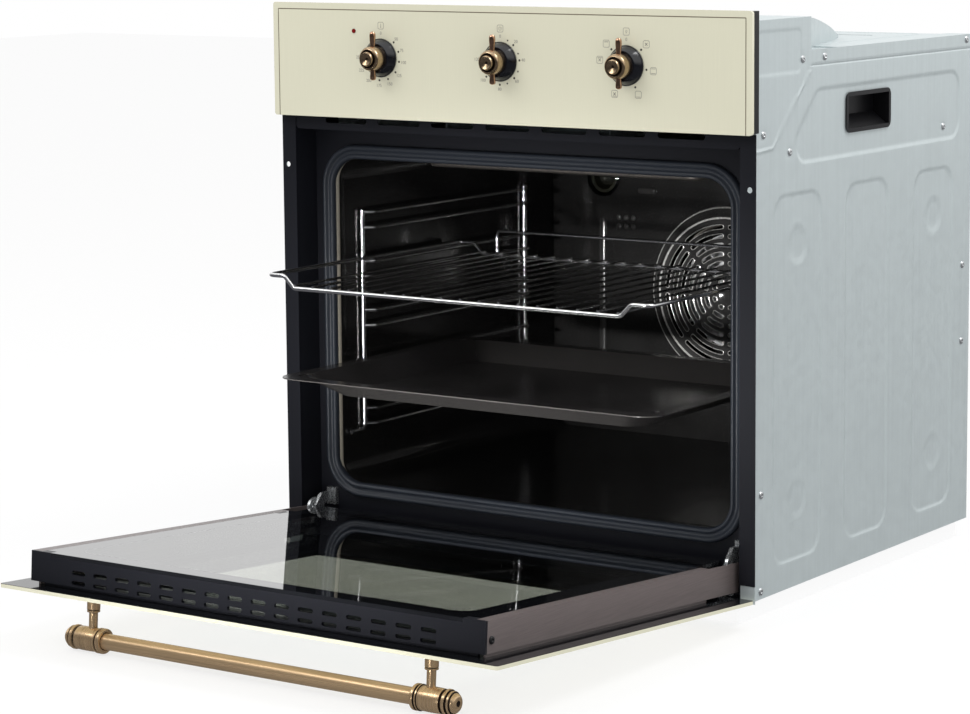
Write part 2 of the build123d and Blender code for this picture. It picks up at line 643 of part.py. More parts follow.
for knob_name, knob_x in KNOB_NAMES.items():
    with BuildPart() as skirt:
        with BuildSketch(Plane(origin=(knob_x, FRONT, KNOB_Z), x_dir=(1, 0, 0), z_dir=(0, 0, 1))):
            with BuildLine():
                Polyline(
                    (SHAFT_RADIUS + SHAFT_CLEARANCE, SKIRT_BACK),
                    (SKIRT_RADIUS, SKIRT_BACK),
                    (SKIRT_RADIUS, SKIRT_BACK - 2),
                    (SKIRT_FRONT_RADIUS, SKIRT_FACE),
                    (SHAFT_RADIUS + SHAFT_CLEARANCE, SKIRT_FACE),
                    close=True,
                )
            make_face()
        revolve(axis=Axis((knob_x, FRONT, KNOB_Z), (0, 1, 0)))
    skirt.part.label = f"{knob_name}_skirt"
    export_step(skirt.part, f"parts/{knob_name}_skirt.step")

    with BuildPart() as grip:
        with BuildSketch(Plane(origin=(knob_x, FRONT, KNOB_Z), x_dir=(1, 0, 0), z_dir=(0, 0, 1))):
            with BuildLine():
                Polyline(
                    (0, BRACKET_BACK + SWITCH_DEPTH / 2 - 2),
                    (SHAFT_RADIUS, BRACKET_BACK + SWITCH_DEPTH / 2 - 2),
                    (SHAFT_RADIUS, SKIRT_FACE),
                    (BARREL_RADIUS, SKIRT_FACE),
                    (BARREL_RADIUS - 0.6, BARREL_FACE + 4),
                    (BARREL_RADIUS - 2.0, BARREL_FACE + 1.5),
                    (BARREL_RADIUS - 4.0, BARREL_FACE + 1.5),
                    (BARREL_RADIUS - 4.6, BARREL_FACE - 1.5),
                    (BARREL_RADIUS - 8.0, BARREL_FACE - 2.5),
                    (0, BARREL_FACE - 0.5),
                    close=True,
                )
            make_face()
        revolve(axis=Axis((knob_x, FRONT, KNOB_Z), (0, 1, 0)))
        tip_up = (knob_x, FRONT + PIN_DEPTH, KNOB_Z + CROSS_PIN_UP - CROSS_PIN_RADIUS)
        tip_down = (knob_x, FRONT + PIN_DEPTH, KNOB_Z - CROSS_PIN_DOWN + CROSS_PIN_RADIUS)
        rod(tip_down, tip_up, CROSS_PIN_RADIUS)
        ball(tip_up, CROSS_PIN_RADIUS)
        ball(tip_down, CROSS_PIN_RADIUS)
    grip.part.label = f"{knob_name}_grip"
    export_step(grip.part, f"parts/{knob_name}_grip.step")


# Cavity liner: an open box with rounded edges, with a round recess for the fan
RECESS_BACK = CAVITY_BACK + FAN_RECESS_DEPTH
LAMP_TUBE = LAMP_RADIUS - 4
GRILL_Z = CAVITY_TOP - GRILL_DROP
GRILL_TERMINALS = (-30.0, 30.0)
RING_RADIUS = FAN_RECESS_RADIUS - 9
RING_TERMINALS = (-12.0, 12.0)
GRILL_HOLE = ELEMENT_RADIUS + FIT

with BuildPart() as cavity_liner:
    rounded_prism(LINER_HALF, CAVITY_FLOOR - SHEET, CAVITY_TOP + SHEET, CAVITY_CORNER + SHEET,
                  RECESS_DEPTH, CAVITY_BACK + SHEET)
    disc(0, FAN_Z, FAN_RECESS_RADIUS + SHEET, CAVITY_BACK, RECESS_BACK + SHEET)
    rounded_prism(CAVITY_HALF, CAVITY_FLOOR, CAVITY_TOP, CAVITY_CORNER,
                  RECESS_DEPTH - 1, CAVITY_BACK, Mode.SUBTRACT)
    disc(0, FAN_Z, FAN_RECESS_RADIUS, CAVITY_BACK - 1, RECESS_BACK, Mode.SUBTRACT)
    disc(0, FAN_Z, FAN_SHAFT_RADIUS + 2, RECESS_BACK - 1, RECESS_BACK + 3, Mode.SUBTRACT)
    disc(LAMP_X, LAMP_Z, LAMP_TUBE, CAVITY_BACK - 1, CAVITY_BACK + 3, Mode.SUBTRACT)
    for x in GRILL_TERMINALS:
        disc(x, GRILL_Z, GRILL_HOLE, CAVITY_BACK - 1, CAVITY_BACK + 3, Mode.SUBTRACT)
    for x in RING_TERMINALS:
        disc(x, FAN_Z - RING_RADIUS, GRILL_HOLE, RECESS_BACK - 1, RECESS_BACK + 3, Mode.SUBTRACT)
cavity_liner.part.label = "cavity_liner"
export_step(cavity_liner.part, "parts/cavity_liner.step")


# Insulation blanket round the liner
BLANKET_HALF = LINER_HALF + INSULATION
BLANKET_BOTTOM = CAVITY_FLOOR - 36
BLANKET_FLOOR = CAVITY_FLOOR - 16
BLANKET_TOP = CAVITY_TOP + INSULATION
BLANKET_BACK = CAVITY_BACK + SHEET + INSULATION

with BuildPart() as insulation:
    body_block(-BLANKET_HALF, BLANKET_HALF, FRAME_BACK, BLANKET_BACK, BLANKET_BOTTOM, BLANKET_TOP)
    body_block(-LINER_HALF, LINER_HALF, FRAME_BACK, CAVITY_BACK + SHEET,
               BLANKET_FLOOR, CAVITY_TOP + SHEET, Mode.SUBTRACT)
    disc(0, FAN_Z, FAN_RECESS_RADIUS + SHEET + FIT, CAVITY_BACK, BLANKET_BACK + 1, Mode.SUBTRACT)
    disc(LAMP_X, LAMP_Z, LAMP_TUBE + 2, CAVITY_BACK, BLANKET_BACK + 1, Mode.SUBTRACT)
    for x in GRILL_TERMINALS:
        disc(x, GRILL_Z, GRILL_HOLE, CAVITY_BACK, BLANKET_BACK + 1, Mode.SUBTRACT)
insulation.part.label = "insulation"
export_step(insulation.part, "parts/insulation.step")


# Gasket round the mouth, with two ridges
GASKET_HALF = CAVITY_HALF + 2
GASKET_FLOOR = CAVITY_FLOOR + 1
RIDGE = 2.5

with BuildPart() as door_gasket:
    rounded_prism(GASKET_HALF + GASKET_WIDTH, GASKET_FLOOR - GASKET_WIDTH, CAVITY_TOP + GASKET_WIDTH,
                  GASKET_CORNER + GASKET_WIDTH, RECESS_DEPTH - GASKET_HEIGHT, RECESS_DEPTH)
    ridge_half = GASKET_HALF + GASKET_WIDTH / 2
    rounded_prism(ridge_half + RIDGE, GASKET_FLOOR - GASKET_WIDTH / 2 - RIDGE,
                  CAVITY_TOP + GASKET_WIDTH / 2 + RIDGE, GASKET_CORNER + GASKET_WIDTH / 2 + RIDGE,
                  RECESS_DEPTH - GASKET_HEIGHT - 1, RECESS_DEPTH - GASKET_HEIGHT + RIDGE, Mode.SUBTRACT)
    with BuildSketch(front_plane(RECESS_DEPTH - GASKET_HEIGHT)) as inner_ridge:
        with Locations((0, (GASKET_FLOOR + CAVITY_TOP) / 2)):
            RectangleRounded(2 * (ridge_half - RIDGE),
                             CAVITY_TOP - GASKET_FLOOR + GASKET_WIDTH - 2 * RIDGE,
                             GASKET_CORNER + GASKET_WIDTH / 2 - RIDGE)
    extrude(amount=-RIDGE)
    rounded_prism(GASKET_HALF, GASKET_FLOOR, CAVITY_TOP, GASKET_CORNER,
                  RECESS_DEPTH - GASKET_HEIGHT - 1, RECESS_DEPTH + 1, Mode.SUBTRACT)
door_gasket.part.label = "door_gasket"
export_step(door_gasket.part, "parts/door_gasket.step")


# Side racks: two posts a side, and five loops of wire
POST_X = CAVITY_HALF - RACK_POST_INSET
RUNG_X = CAVITY_HALF - RACK_RUNG_INSET
RACK_BOTTOM = 119.0
RACK_FOOT = 25.0

with BuildPart() as rack:
    for depth in (RACK_FRONT, RACK_REAR):
        post_top = (POST_X, FRONT + depth, RACK_TOP_RUNG + 2)
        post_bottom = (POST_X, FRONT + depth, RACK_BOTTOM)
        rod(post_bottom, post_top, RACK_POST_WIRE)
        # A pin holds each post on the cavity's wall
        for height in (RACK_BOTTOM + 8, RACK_TOP_RUNG - 6):
            peg_start = (POST_X, FRONT + depth, height)
            peg_end = (CAVITY_HALF, FRONT + depth, height)
            rod(peg_start, peg_end, RACK_WIRE)
    for loop in range(RACK_LOOPS):
        for drop in (0, RACK_LOOP_DROP):
            height = RACK_TOP_RUNG - loop * RACK_PITCH - drop
            wire(
                [
                    (POST_X, FRONT + RACK_FRONT, height),
                    (RUNG_X, FRONT + RACK_FRONT + 10, height),
                    (RUNG_X, FRONT + RACK_REAR - 10, height),
                    (POST_X, FRONT + RACK_REAR, height),
                ],
                RACK_WIRE,
            )
    foot_z = RACK_BOTTOM + 3
    rod((POST_X, FRONT + RACK_FRONT, foot_z),
        (POST_X, FRONT + RACK_FRONT - RACK_FOOT, foot_z), RACK_WIRE)
rack.part.label = "rack_right"
export_step(rack.part, "parts/rack_right.step")

# The left rack mirrors the right one
with BuildPart() as rack_left:
    mirror(rack.part, about=Plane.YZ)
rack_left.part.label = "rack_left"
export_step(rack_left.part, "parts/rack_left.step")


# Fan cover: a dished disc with rings of slots
COVER_FACE = CAVITY_BACK - FAN_COVER_PROUD
SLOT_RINGS = [(30.0, 12), (46.0, 18), (62.0, 24), (78.0, 30)]
SLOT_RING_LENGTH = 11.0

with BuildPart() as fan_cover:
    with BuildSketch(Plane(origin=(0, FRONT, FAN_Z), x_dir=(1, 0, 0), z_dir=(0, 0, 1))):
        with BuildLine():
            Polyline(
                (0, COVER_FACE),
                (FAN_COVER_RADIUS - 8, COVER_FACE),
                (FAN_COVER_RADIUS - 2, CAVITY_BACK - SHEET),
                (FAN_COVER_RADIUS, CAVITY_BACK - SHEET),
                (FAN_COVER_RADIUS, CAVITY_BACK),
                (FAN_COVER_RADIUS - 3, CAVITY_BACK),
                (FAN_COVER_RADIUS - 9, COVER_FACE + SHEET),
                (0, COVER_FACE + SHEET),
                close=True,
            )
        make_face()
    revolve(axis=Axis((0, FRONT, FAN_Z), (0, 1, 0)))
    with BuildSketch(front_plane(COVER_FACE - 1)):
        with Locations((0, FAN_Z)):
            for ring_radius, count in SLOT_RINGS:
                with PolarLocations(ring_radius, count):
                    SlotOverall(SLOT_RING_LENGTH, 3.6)
    extrude(amount=-4, mode=Mode.SUBTRACT)
fan_cover.part.label = "fan_cover"
export_step(fan_cover.part, "parts/fan_cover.step")


# Ring element round the fan, with two terminals through the recess
RING_DEPTH = CAVITY_BACK + 10

with BuildPart() as ring_element:
    with Locations(Location((0, FRONT + RING_DEPTH, FAN_Z), (90, 0, 0))):
        Torus(RING_RADIUS, ELEMENT_RADIUS)
    for x in RING_TERMINALS:
        terminal_z = FAN_Z - RING_RADIUS
        rod((x, FRONT + RING_DEPTH, terminal_z), (x, FRONT + RECESS_BACK + 15, terminal_z), ELEMENT_RADIUS)
ring_element.part.label = "ring_element"
export_step(ring_element.part, "parts/ring_element.step")


# Convection fan: a backplate with upright blades, on the motor's shaft
FAN_PLATE_DEPTH = RECESS_BACK - 3
BLADE_DEPTH = 22.0
MOTOR_FRONT = RECESS_BACK + SHEET
MOTOR_BACK = BODY_DEPTH - 3
MOTOR_STRAP_HALF = 46.0

with BuildPart() as convection_fan:
    disc(0, FAN_Z, FAN_RADIUS, FAN_PLATE_DEPTH - 1, FAN_PLATE_DEPTH)
    disc(0, FAN_Z, FAN_SHAFT_RADIUS + 4, FAN_PLATE_DEPTH - 12, FAN_PLATE_DEPTH)
    disc(0, FAN_Z, FAN_SHAFT_RADIUS, FAN_PLATE_DEPTH - 1, MOTOR_BACK - 6)
    with BuildSketch(front_plane(FAN_PLATE_DEPTH - 1)):
        with Locations((0, FAN_Z)):
            with PolarLocations(FAN_RADIUS - 16, FAN_BLADES):
                Rectangle(26, 1.2, rotation=20)
    extrude(amount=BLADE_DEPTH)
convection_fan.part.label = "convection_fan"
export_step(convection_fan.part, "parts/convection_fan.step")

with BuildPart() as fan_motor:
    disc(0, FAN_Z, FAN_MOTOR_RADIUS, MOTOR_FRONT, MOTOR_BACK)
    body_block(-MOTOR_STRAP_HALF, MOTOR_STRAP_HALF, MOTOR_FRONT, MOTOR_FRONT + 2 * SHEET,
               FAN_Z - 8, FAN_Z + 8)
    disc(0, FAN_Z, FAN_SHAFT_RADIUS + SHAFT_CLEARANCE, MOTOR_FRONT - 1, MOTOR_BACK - 5, Mode.SUBTRACT)
fan_motor.part.label = "fan_motor"
export_step(fan_motor.part, "parts/fan_motor.step")


# Grill element under the ceiling and bottom element under the floor
ELEMENT_BEND = 14.0
ELEMENT_LOOP_BACK = CAVITY_BACK - 40


def element_track(half_width, depth_front, depth_back, height, terminals):
    """A heating rod that runs from one terminal forward, across and back to the other."""
    inner = half_width / 2
    left, right = terminals
    middle = depth_front + 60
    route = [
        (left, depth_back), (left, middle), (-inner, middle), (-inner, ELEMENT_LOOP_BACK),
        (-half_width, ELEMENT_LOOP_BACK), (-half_width, depth_front), (half_width, depth_front),
        (half_width, ELEMENT_LOOP_BACK), (inner, ELEMENT_LOOP_BACK), (inner, middle),
        (right, middle), (right, depth_back),
    ]
    with BuildLine(Plane.XY.offset(height)) as track:
        FilletPolyline(*[(x, FRONT + depth) for x, depth in route], radius=ELEMENT_BEND)
    with BuildSketch(Plane(origin=track.line @ 0, z_dir=track.line % 0)) as section:
        Circle(ELEMENT_RADIUS)
    sweep(section.sketch, path=track.line)


GRILL_HALF = CAVITY_HALF - 75
GRILL_FRONT = RECESS_DEPTH + GRILL_INSET
HANGER_HALF = 4.0

with BuildPart() as grill_element:
    element_track(GRILL_HALF, GRILL_FRONT, BLANKET_BACK + 8, GRILL_Z, GRILL_TERMINALS)
    # Two hangers hold the front on the ceiling
    for x in (-GRILL_HALF / 2, GRILL_HALF / 2):
        body_block(x - HANGER_HALF, x + HANGER_HALF, GRILL_FRONT - SHEET, GRILL_FRONT + SHEET,
                   GRILL_Z, CAVITY_TOP)
grill_element.part.label = "grill_element"
export_step(grill_element.part, "parts/grill_element.step")

BOTTOM_ELEMENT_Z = CAVITY_FLOOR - SHEET - FIT - ELEMENT_RADIUS

with BuildPart() as bottom_element:
    element_track(GRILL_HALF, GRILL_FRONT, CAVITY_BACK - 10, BOTTOM_ELEMENT_Z, GRILL_TERMINALS)
bottom_element.part.label = "bottom_element"
export_step(bottom_element.part, "parts/bottom_element.step")


# Oven lamp behind the rear wall, and its lens
with BuildPart() as oven_lamp:
    disc(LAMP_X, LAMP_Z, LAMP_TUBE - FIT, CAVITY_BACK + FIT, CAVITY_BACK + 34)
    disc(LAMP_X, LAMP_Z, LAMP_TUBE - 4, CAVITY_BACK + FIT - 1, CAVITY_BACK + 24, Mode.SUBTRACT)
    disc(LAMP_X, LAMP_Z, 9, CAVITY_BACK + 6, CAVITY_BACK + 25)
    ball((LAMP_X, FRONT + CAVITY_BACK + 8, LAMP_Z), 9)
oven_lamp.part.label = "oven_lamp"
export_step(oven_lamp.part, "parts/oven_lamp.step")

with BuildPart() as lamp_lens:
    with BuildSketch(Plane(origin=(LAMP_X, FRONT, LAMP_Z), x_dir=(1, 0, 0), z_dir=(0, 0, 1))):
        with BuildLine():
            Polyline(
                (0, CAVITY_BACK - 11),
                (12, CAVITY_BACK - 9.5),
                (LAMP_RADIUS - 3, CAVITY_BACK - 4),
                (LAMP_RADIUS, CAVITY_BACK - 3),
                (LAMP_RADIUS, CAVITY_BACK),
                (LAMP_RADIUS - 5, CAVITY_BACK),
                (11, CAVITY_BACK - 6.5),
                (0, CAVITY_BACK - 8),
                close=True,
            )
        make_face()
    revolve(axis=Axis((LAMP_X, FRONT, LAMP_Z), (0, 1, 0)))
lamp_lens.part.label = "lamp_lens"
export_step(lamp_lens.part, "parts/lamp_lens.step")


# Cooling blower behind the switches: housing with outlet and motor, and its wheel
BLOWER_DEPTH = 104.0
BLOWER_Z = PANEL_BOTTOM + 32.5
BLOWER_HALF = 100.0
BLOWER_RADIUS = 28.0
BLOWER_BLADES = 18
BLOWER_SHAFT = 3.0
SCROLL = BLOWER_RADIUS + 4
BLOWER_MOTOR_RADIUS = 24.0
BLOWER_MOTOR_LENGTH = 40.0
BLOWER_BEARING_RADIUS = 9.0
BLOWER_CASE_HALF = BLOWER_HALF + 4
BLOWER_MOUTH_HALF = BLOWER_HALF + 2
BLOWER_PLATE = 1.5


def blower_rod(x0, x1, radius, mode=Mode.ADD):
    """A round rod or a bore along the blower's axis."""
    rod((x0, FRONT + BLOWER_DEPTH, BLOWER_Z), (x1, FRONT + BLOWER_DEPTH, BLOWER_Z), radius, mode)


with BuildPart() as blower_housing:
    # The scroll stands on a floor that leads the air to the outlet
    body_block(-BLOWER_CASE_HALF, BLOWER_CASE_HALF, BLOWER_DEPTH - SCROLL - 2, BLOWER_DEPTH + SCROLL + 2,
               VENT_BOTTOM, BLOWER_Z + SCROLL + 2)
    body_block(-BLOWER_CASE_HALF, BLOWER_CASE_HALF, FRAME_BACK, BLOWER_DEPTH - SCROLL,
               VENT_BOTTOM, PANEL_BOTTOM)
    blower_rod(-BLOWER_MOUTH_HALF, BLOWER_MOUTH_HALF, SCROLL, Mode.SUBTRACT)
    body_block(-BLOWER_MOUTH_HALF, BLOWER_MOUTH_HALF, FRAME_BACK - 1, BLOWER_DEPTH,
               VENT_BOTTOM + SHEET, PANEL_BOTTOM - SHEET, Mode.SUBTRACT)
    body_block(-BLOWER_HALF + 10, BLOWER_HALF - 10, BLOWER_DEPTH - 20, BLOWER_DEPTH + 20,
               BLOWER_Z + SCROLL - 4, BLOWER_Z + SCROLL + 3, Mode.SUBTRACT)
    # The motor on the right, and the bearing on the left
    blower_rod(BLOWER_CASE_HALF, BLOWER_CASE_HALF + BLOWER_MOTOR_LENGTH, BLOWER_MOTOR_RADIUS)
    blower_rod(-BLOWER_CASE_HALF - 8, -BLOWER_CASE_HALF, BLOWER_BEARING_RADIUS)
    blower_rod(-BLOWER_CASE_HALF - 4, BLOWER_HALF + 30, BLOWER_SHAFT + SHAFT_CLEARANCE, Mode.SUBTRACT)
blower_housing.part.label = "blower_housing"
export_step(blower_housing.part, "parts/blower_housing.step")

with BuildPart() as blower_wheel:
    blower_rod(-BLOWER_HALF - 7, BLOWER_HALF + 28, BLOWER_SHAFT)
    for x in (-BLOWER_HALF, 0, BLOWER_HALF - BLOWER_PLATE):
        blower_rod(x, x + BLOWER_PLATE, BLOWER_RADIUS)
    wheel_end = (-BLOWER_HALF, FRONT + BLOWER_DEPTH, BLOWER_Z)
    with BuildSketch(Plane(origin=wheel_end, x_dir=(0, 1, 0), z_dir=(1, 0, 0))):
        with PolarLocations(BLOWER_RADIUS - 4.5, BLOWER_BLADES):
            Rectangle(8, 1.2, rotation=25)
    extrude(amount=2 * BLOWER_HALF)
blower_wheel.part.label = "blower_wheel"
export_step(blower_wheel.part, "parts/blower_wheel.step")


# Carrying grips: pockets with a sloped floor, in the side panels
GRIP_WALL = 1.5
GRIP_SLOPE_START = 2.0
GRIP_SLOPE_HEIGHT = 14.0
GRIP_CORNER = 8.0

with BuildPart() as carry_grips:
    depth0 = GRIP_FRONT + GRIP_LIP
    depth1 = GRIP_REAR - GRIP_LIP
    low = GRIP_BOTTOM + GRIP_LIP
    high = GRIP_TOP - GRIP_LIP
    for side in (-1, 1):
        with BuildSketch(side_plane(side * HALF)) as frame_face:
            with Locations(((GRIP_FRONT + GRIP_REAR) / 2, (GRIP_BOTTOM + GRIP_TOP) / 2)):
                RectangleRounded(GRIP_REAR - GRIP_FRONT, GRIP_TOP - GRIP_BOTTOM, GRIP_CORNER)
        extrude(amount=side * GRIP_PROUD)
        side_block(side, HALF - GRIP_DEPTH, HALF, depth0, depth1, low, high)
        pocket_plane = Plane(origin=(0, FRONT + depth0 + GRIP_WALL, 0), x_dir=(1, 0, 0), z_dir=(0, -1, 0))
        pocket_back = side * (HALF - GRIP_DEPTH + GRIP_WALL)
        with BuildSketch(pocket_plane) as pocket:
            with BuildLine():
                Polyline(
                    (side * (HALF + GRIP_LIP), low + GRIP_WALL),
                    (side * (HALF + GRIP_LIP), high - GRIP_WALL),
                    (pocket_back, high - GRIP_WALL),
                    (pocket_back, low + GRIP_SLOPE_HEIGHT),
                    (side * (HALF - GRIP_SLOPE_START), low + GRIP_WALL),
                    close=True,
                )
            make_face()
        extrude(amount=-(depth1 - depth0 - 2 * GRIP_WALL), mode=Mode.SUBTRACT)
carry_grips.part.label = "carry_grips"
export_step(carry_grips.part, "parts/carry_grips.step")


# Screws of the side panels
with BuildPart() as casing_screws:
    for side in (-1, 1):
        for depth, height in SCREW_PLACES:
            seat = (side * HALF, FRONT + depth, height)
            head = (side * (HALF + SCREW_HEAD_HEIGHT), FRONT + depth, height)
            tip = (side * (HALF - SCREW_LENGTH), FRONT + depth, height)
            rod(seat, head, SCREW_HEAD_RADIUS)
            rod(seat, tip, SCREW_RADIUS - 0.02)
casing_screws.part.label = "casing_screws"
export_step(casing_screws.part, "parts/casing_screws.step")


# Wire shelf: a bent frame, with the grid's wires lying on its dipped front and rear
SHELF_HALF = CAVITY_HALF - SHELF_INSET
SHELF_BACK = SHELF_FRONT + SHELF_LENGTH
EAR_INNER = SHELF_HALF - SHELF_EAR + SHELF_WIRE
EAR_OUTER = EAR_INNER + SHELF_DIP
DIP_Z = SHELF_Z - SHELF_DIP
GRID_Z = DIP_Z + SHELF_WIRE + SHELF_GRID_WIRE - 0.6
WIRE_BEND = 5.0

with BuildPart() as shelf_grid:
    for side in (-1, 1):
        wire(
            [
                (0, FRONT + SHELF_FRONT, DIP_Z),
                (side * EAR_INNER, FRONT + SHELF_FRONT, DIP_Z),
                (side * EAR_OUTER, FRONT + SHELF_FRONT, SHELF_Z),
                (side * (SHELF_HALF - WIRE_BEND), FRONT + SHELF_FRONT, SHELF_Z),
                (side * SHELF_HALF, FRONT + SHELF_FRONT + WIRE_BEND, SHELF_Z),
                (side * SHELF_HALF, FRONT + SHELF_BACK - WIRE_BEND, SHELF_Z),
                (side * (SHELF_HALF - WIRE_BEND), FRONT + SHELF_BACK, SHELF_Z),
                (side * EAR_OUTER, FRONT + SHELF_BACK, SHELF_Z),
                (side * EAR_INNER, FRONT + SHELF_BACK, DIP_Z),
                (0, FRONT + SHELF_BACK, DIP_Z),
            ],
            SHELF_WIRE,
        )
    for y in (FRONT + SHELF_FRONT, FRONT + SHELF_BACK):
        ball((0, y, DIP_Z), SHELF_WIRE)
    for index in range(SHELF_GRID_COUNT):
        x = (index - (SHELF_GRID_COUNT - 1) / 2) * SHELF_GRID_PITCH
        rod((x, FRONT + SHELF_FRONT - 1, GRID_Z), (x, FRONT + SHELF_BACK + 1, GRID_Z), SHELF_GRID_WIRE)
shelf_grid.part.label = "shelf_grid"
export_step(shelf_grid.part, "parts/shelf_grid.step")

GUARD_HALF = EAR_INNER - SHELF_GUARD_INSET
GUARD_BASE = DIP_Z + SHELF_WIRE
GUARD_TOP = DIP_Z + SHELF_WIRE + SHELF_GUARD_HEIGHT
GUARD_WIRE = 2.0
GUARD_Y = FRONT + SHELF_BACK

with BuildPart() as shelf_guard:
    wire(
        [
            (-GUARD_HALF, GUARD_Y, GUARD_BASE),
            (-GUARD_HALF, GUARD_Y, GUARD_TOP - WIRE_BEND),
            (-GUARD_HALF + WIRE_BEND, GUARD_Y, GUARD_TOP),
            (GUARD_HALF - WIRE_BEND, GUARD_Y, GUARD_TOP),
            (GUARD_HALF, GUARD_Y, GUARD_TOP - WIRE_BEND),
            (GUARD_HALF, GUARD_Y, GUARD_BASE),
        ],
        GUARD_WIRE,
    )
shelf_guard.part.label = "shelf_guard"
export_step(shelf_guard.part, "parts/shelf_guard.step")


# Baking tray: a flat rim and tapered walls
TRAY_HALF = CAVITY_HALF - TRAY_INSET
TRAY_BACK = TRAY_FRONT + TRAY_LENGTH
TRAY_MID_Y = FRONT + (TRAY_FRONT + TRAY_BACK) / 2
TRAY_SLOT_LENGTH = 16.0
TRAY_SLOT_WIDTH = 4.0
TRAY_SLOT_INSET = 17.0
TRAY_SLOT_FROM_END = 30.0
MOUTH_HALF = TRAY_HALF - TRAY_RIM
MOUTH_LENGTH = TRAY_LENGTH - 2 * TRAY_RIM


def tray_section(height, half_width, length, radius):
    """One rounded section of the tray, at a height."""
    with BuildSketch(Plane.XY.offset(height)) as section:
        with Locations((0, TRAY_MID_Y)):
            RectangleRounded(2 * half_width, length, radius)
    return section.sketch


with BuildPart() as baking_tray:
    shrink = 2 * TRAY_WALL_RUN
    tray_bottom = TRAY_Z - TRAY_DEPTH
    lower = tray_section(tray_bottom, MOUTH_HALF - TRAY_WALL_RUN, MOUTH_LENGTH - shrink, TRAY_CORNER)
    upper = tray_section(TRAY_Z, MOUTH_HALF, MOUTH_LENGTH, TRAY_CORNER + 8)
    loft([lower, upper])
    rim = tray_section(TRAY_Z, TRAY_HALF, TRAY_LENGTH, TRAY_CORNER)
    extrude(rim, amount=SHEET)
    inner_half = MOUTH_HALF - SHEET
    inner_length = MOUTH_LENGTH - 2 * SHEET
    inner_floor = tray_section(tray_bottom + SHEET, inner_half - TRAY_WALL_RUN + SHEET,
                               inner_length - shrink + 2 * SHEET, TRAY_CORNER - 1)
    inner_mouth = tray_section(TRAY_Z + 2 * SHEET, inner_half + SHEET, inner_length + 2 * SHEET,
                               TRAY_CORNER + 8)
    loft([inner_floor, inner_mouth], mode=Mode.SUBTRACT)
    # Finger slots in the rim's corners
    with BuildSketch(Plane.XY.offset(TRAY_Z - 1)):
        with Locations((0, TRAY_MID_Y)):
            spread = 2 * (TRAY_HALF - TRAY_SLOT_INSET)
            with GridLocations(spread, TRAY_LENGTH - 2 * TRAY_SLOT_FROM_END, 2, 2):
                SlotOverall(TRAY_SLOT_LENGTH, TRAY_SLOT_WIDTH, rotation=90)
    extrude(amount=3 * SHEET, mode=Mode.SUBTRACT)
baking_tray.part.label = "baking_tray"
export_step(baking_tray.part, "parts/baking_tray.step")


# Door glasses
SEAM_TOP = GLASS + SEAM
INNER_GLASS_INSET = DOOR_THICKNESS - GLASS
PROFILE_INNER = BOX_HALF - PROFILE_WIDTH
BLOCK_INNER = PROFILE_INNER - 13
NOTCH_X = PROFILE_INNER - 7
CLIP_BOTTOM = 72.0
CLIP_TOP = 88.0
CLIP_INNER = BOX_HALF - 18


def door_side_block(side, x0, x1, z0, z1, inset0, inset1, mode=Mode.ADD):
    """A block of the door on the left or the right, by its distances from the middle."""
    door_block(min(side * x0, side * x1), max(side * x0, side * x1), z0, z1, inset0, inset1, mode)


with BuildPart() as door_outer_glass:
    with BuildSketch(DOOR):
        with Locations((0, PIVOT_Z - (DOOR_BOTTOM + DOOR_TOP) / 2)):
            RectangleRounded(FACIA_WIDTH, DOOR_TOP - DOOR_BOTTOM, FACIA_CORNER)
    extrude(amount=GLASS)
door_outer_glass.part.label = "door_outer_glass"
export_step(door_outer_glass.part, "parts/door_outer_glass.step")

with BuildPart(DOOR) as door_middle_glass:
    door_block(-NOTCH_X + FIT, NOTCH_X - FIT, HINGE_NOTCH_TOP, DOOR_BOX_TOP - 8,
               MIDDLE_GLASS_HEIGHT, MIDDLE_GLASS_HEIGHT + GLASS)
door_middle_glass.part.label = "door_middle_glass"
export_step(door_middle_glass.part, "parts/door_middle_glass.step")

with BuildPart(DOOR) as door_inner_glass:
    inside = INNER_GLASS_INSET - 1
    outside = DOOR_THICKNESS + 1
    door_block(-PROFILE_INNER + FIT, PROFILE_INNER - FIT, DOOR_BOX_BOTTOM + TRIM_WALL, DOOR_BOX_TOP,
               INNER_GLASS_INSET, DOOR_THICKNESS)
    for side in (-1, 1):
        door_side_block(side, BLOCK_INNER, BOX_HALF, DOOR_BOX_TOP - CORNER_BLOCK, DOOR_BOX_TOP + 1,
                        inside, outside, Mode.SUBTRACT)
        door_side_block(side, NOTCH_X, BOX_HALF, 0, HINGE_NOTCH_TOP, inside, outside, Mode.SUBTRACT)
        door_side_block(side, CLIP_INNER, BOX_HALF, CLIP_BOTTOM, CLIP_TOP, inside, outside, Mode.SUBTRACT)
door_inner_glass.part.label = "door_inner_glass"
export_step(door_inner_glass.part, "parts/door_inner_glass.step")


# Top trim of the door: the slotted face at the top, with lips for the glasses
TRIM_LOW = DOOR_BOX_TOP - TRIM_WALL
TRIM_LIP = DOOR_BOX_TOP - 16
TRIM_LIP_WALL = 2.0
MIDDLE_LIP_WALL = 1.5
VENT_FACE = DOOR.from_local_coords(Vector(0, PIVOT_Z - DOOR_BOX_TOP - 1, 0))

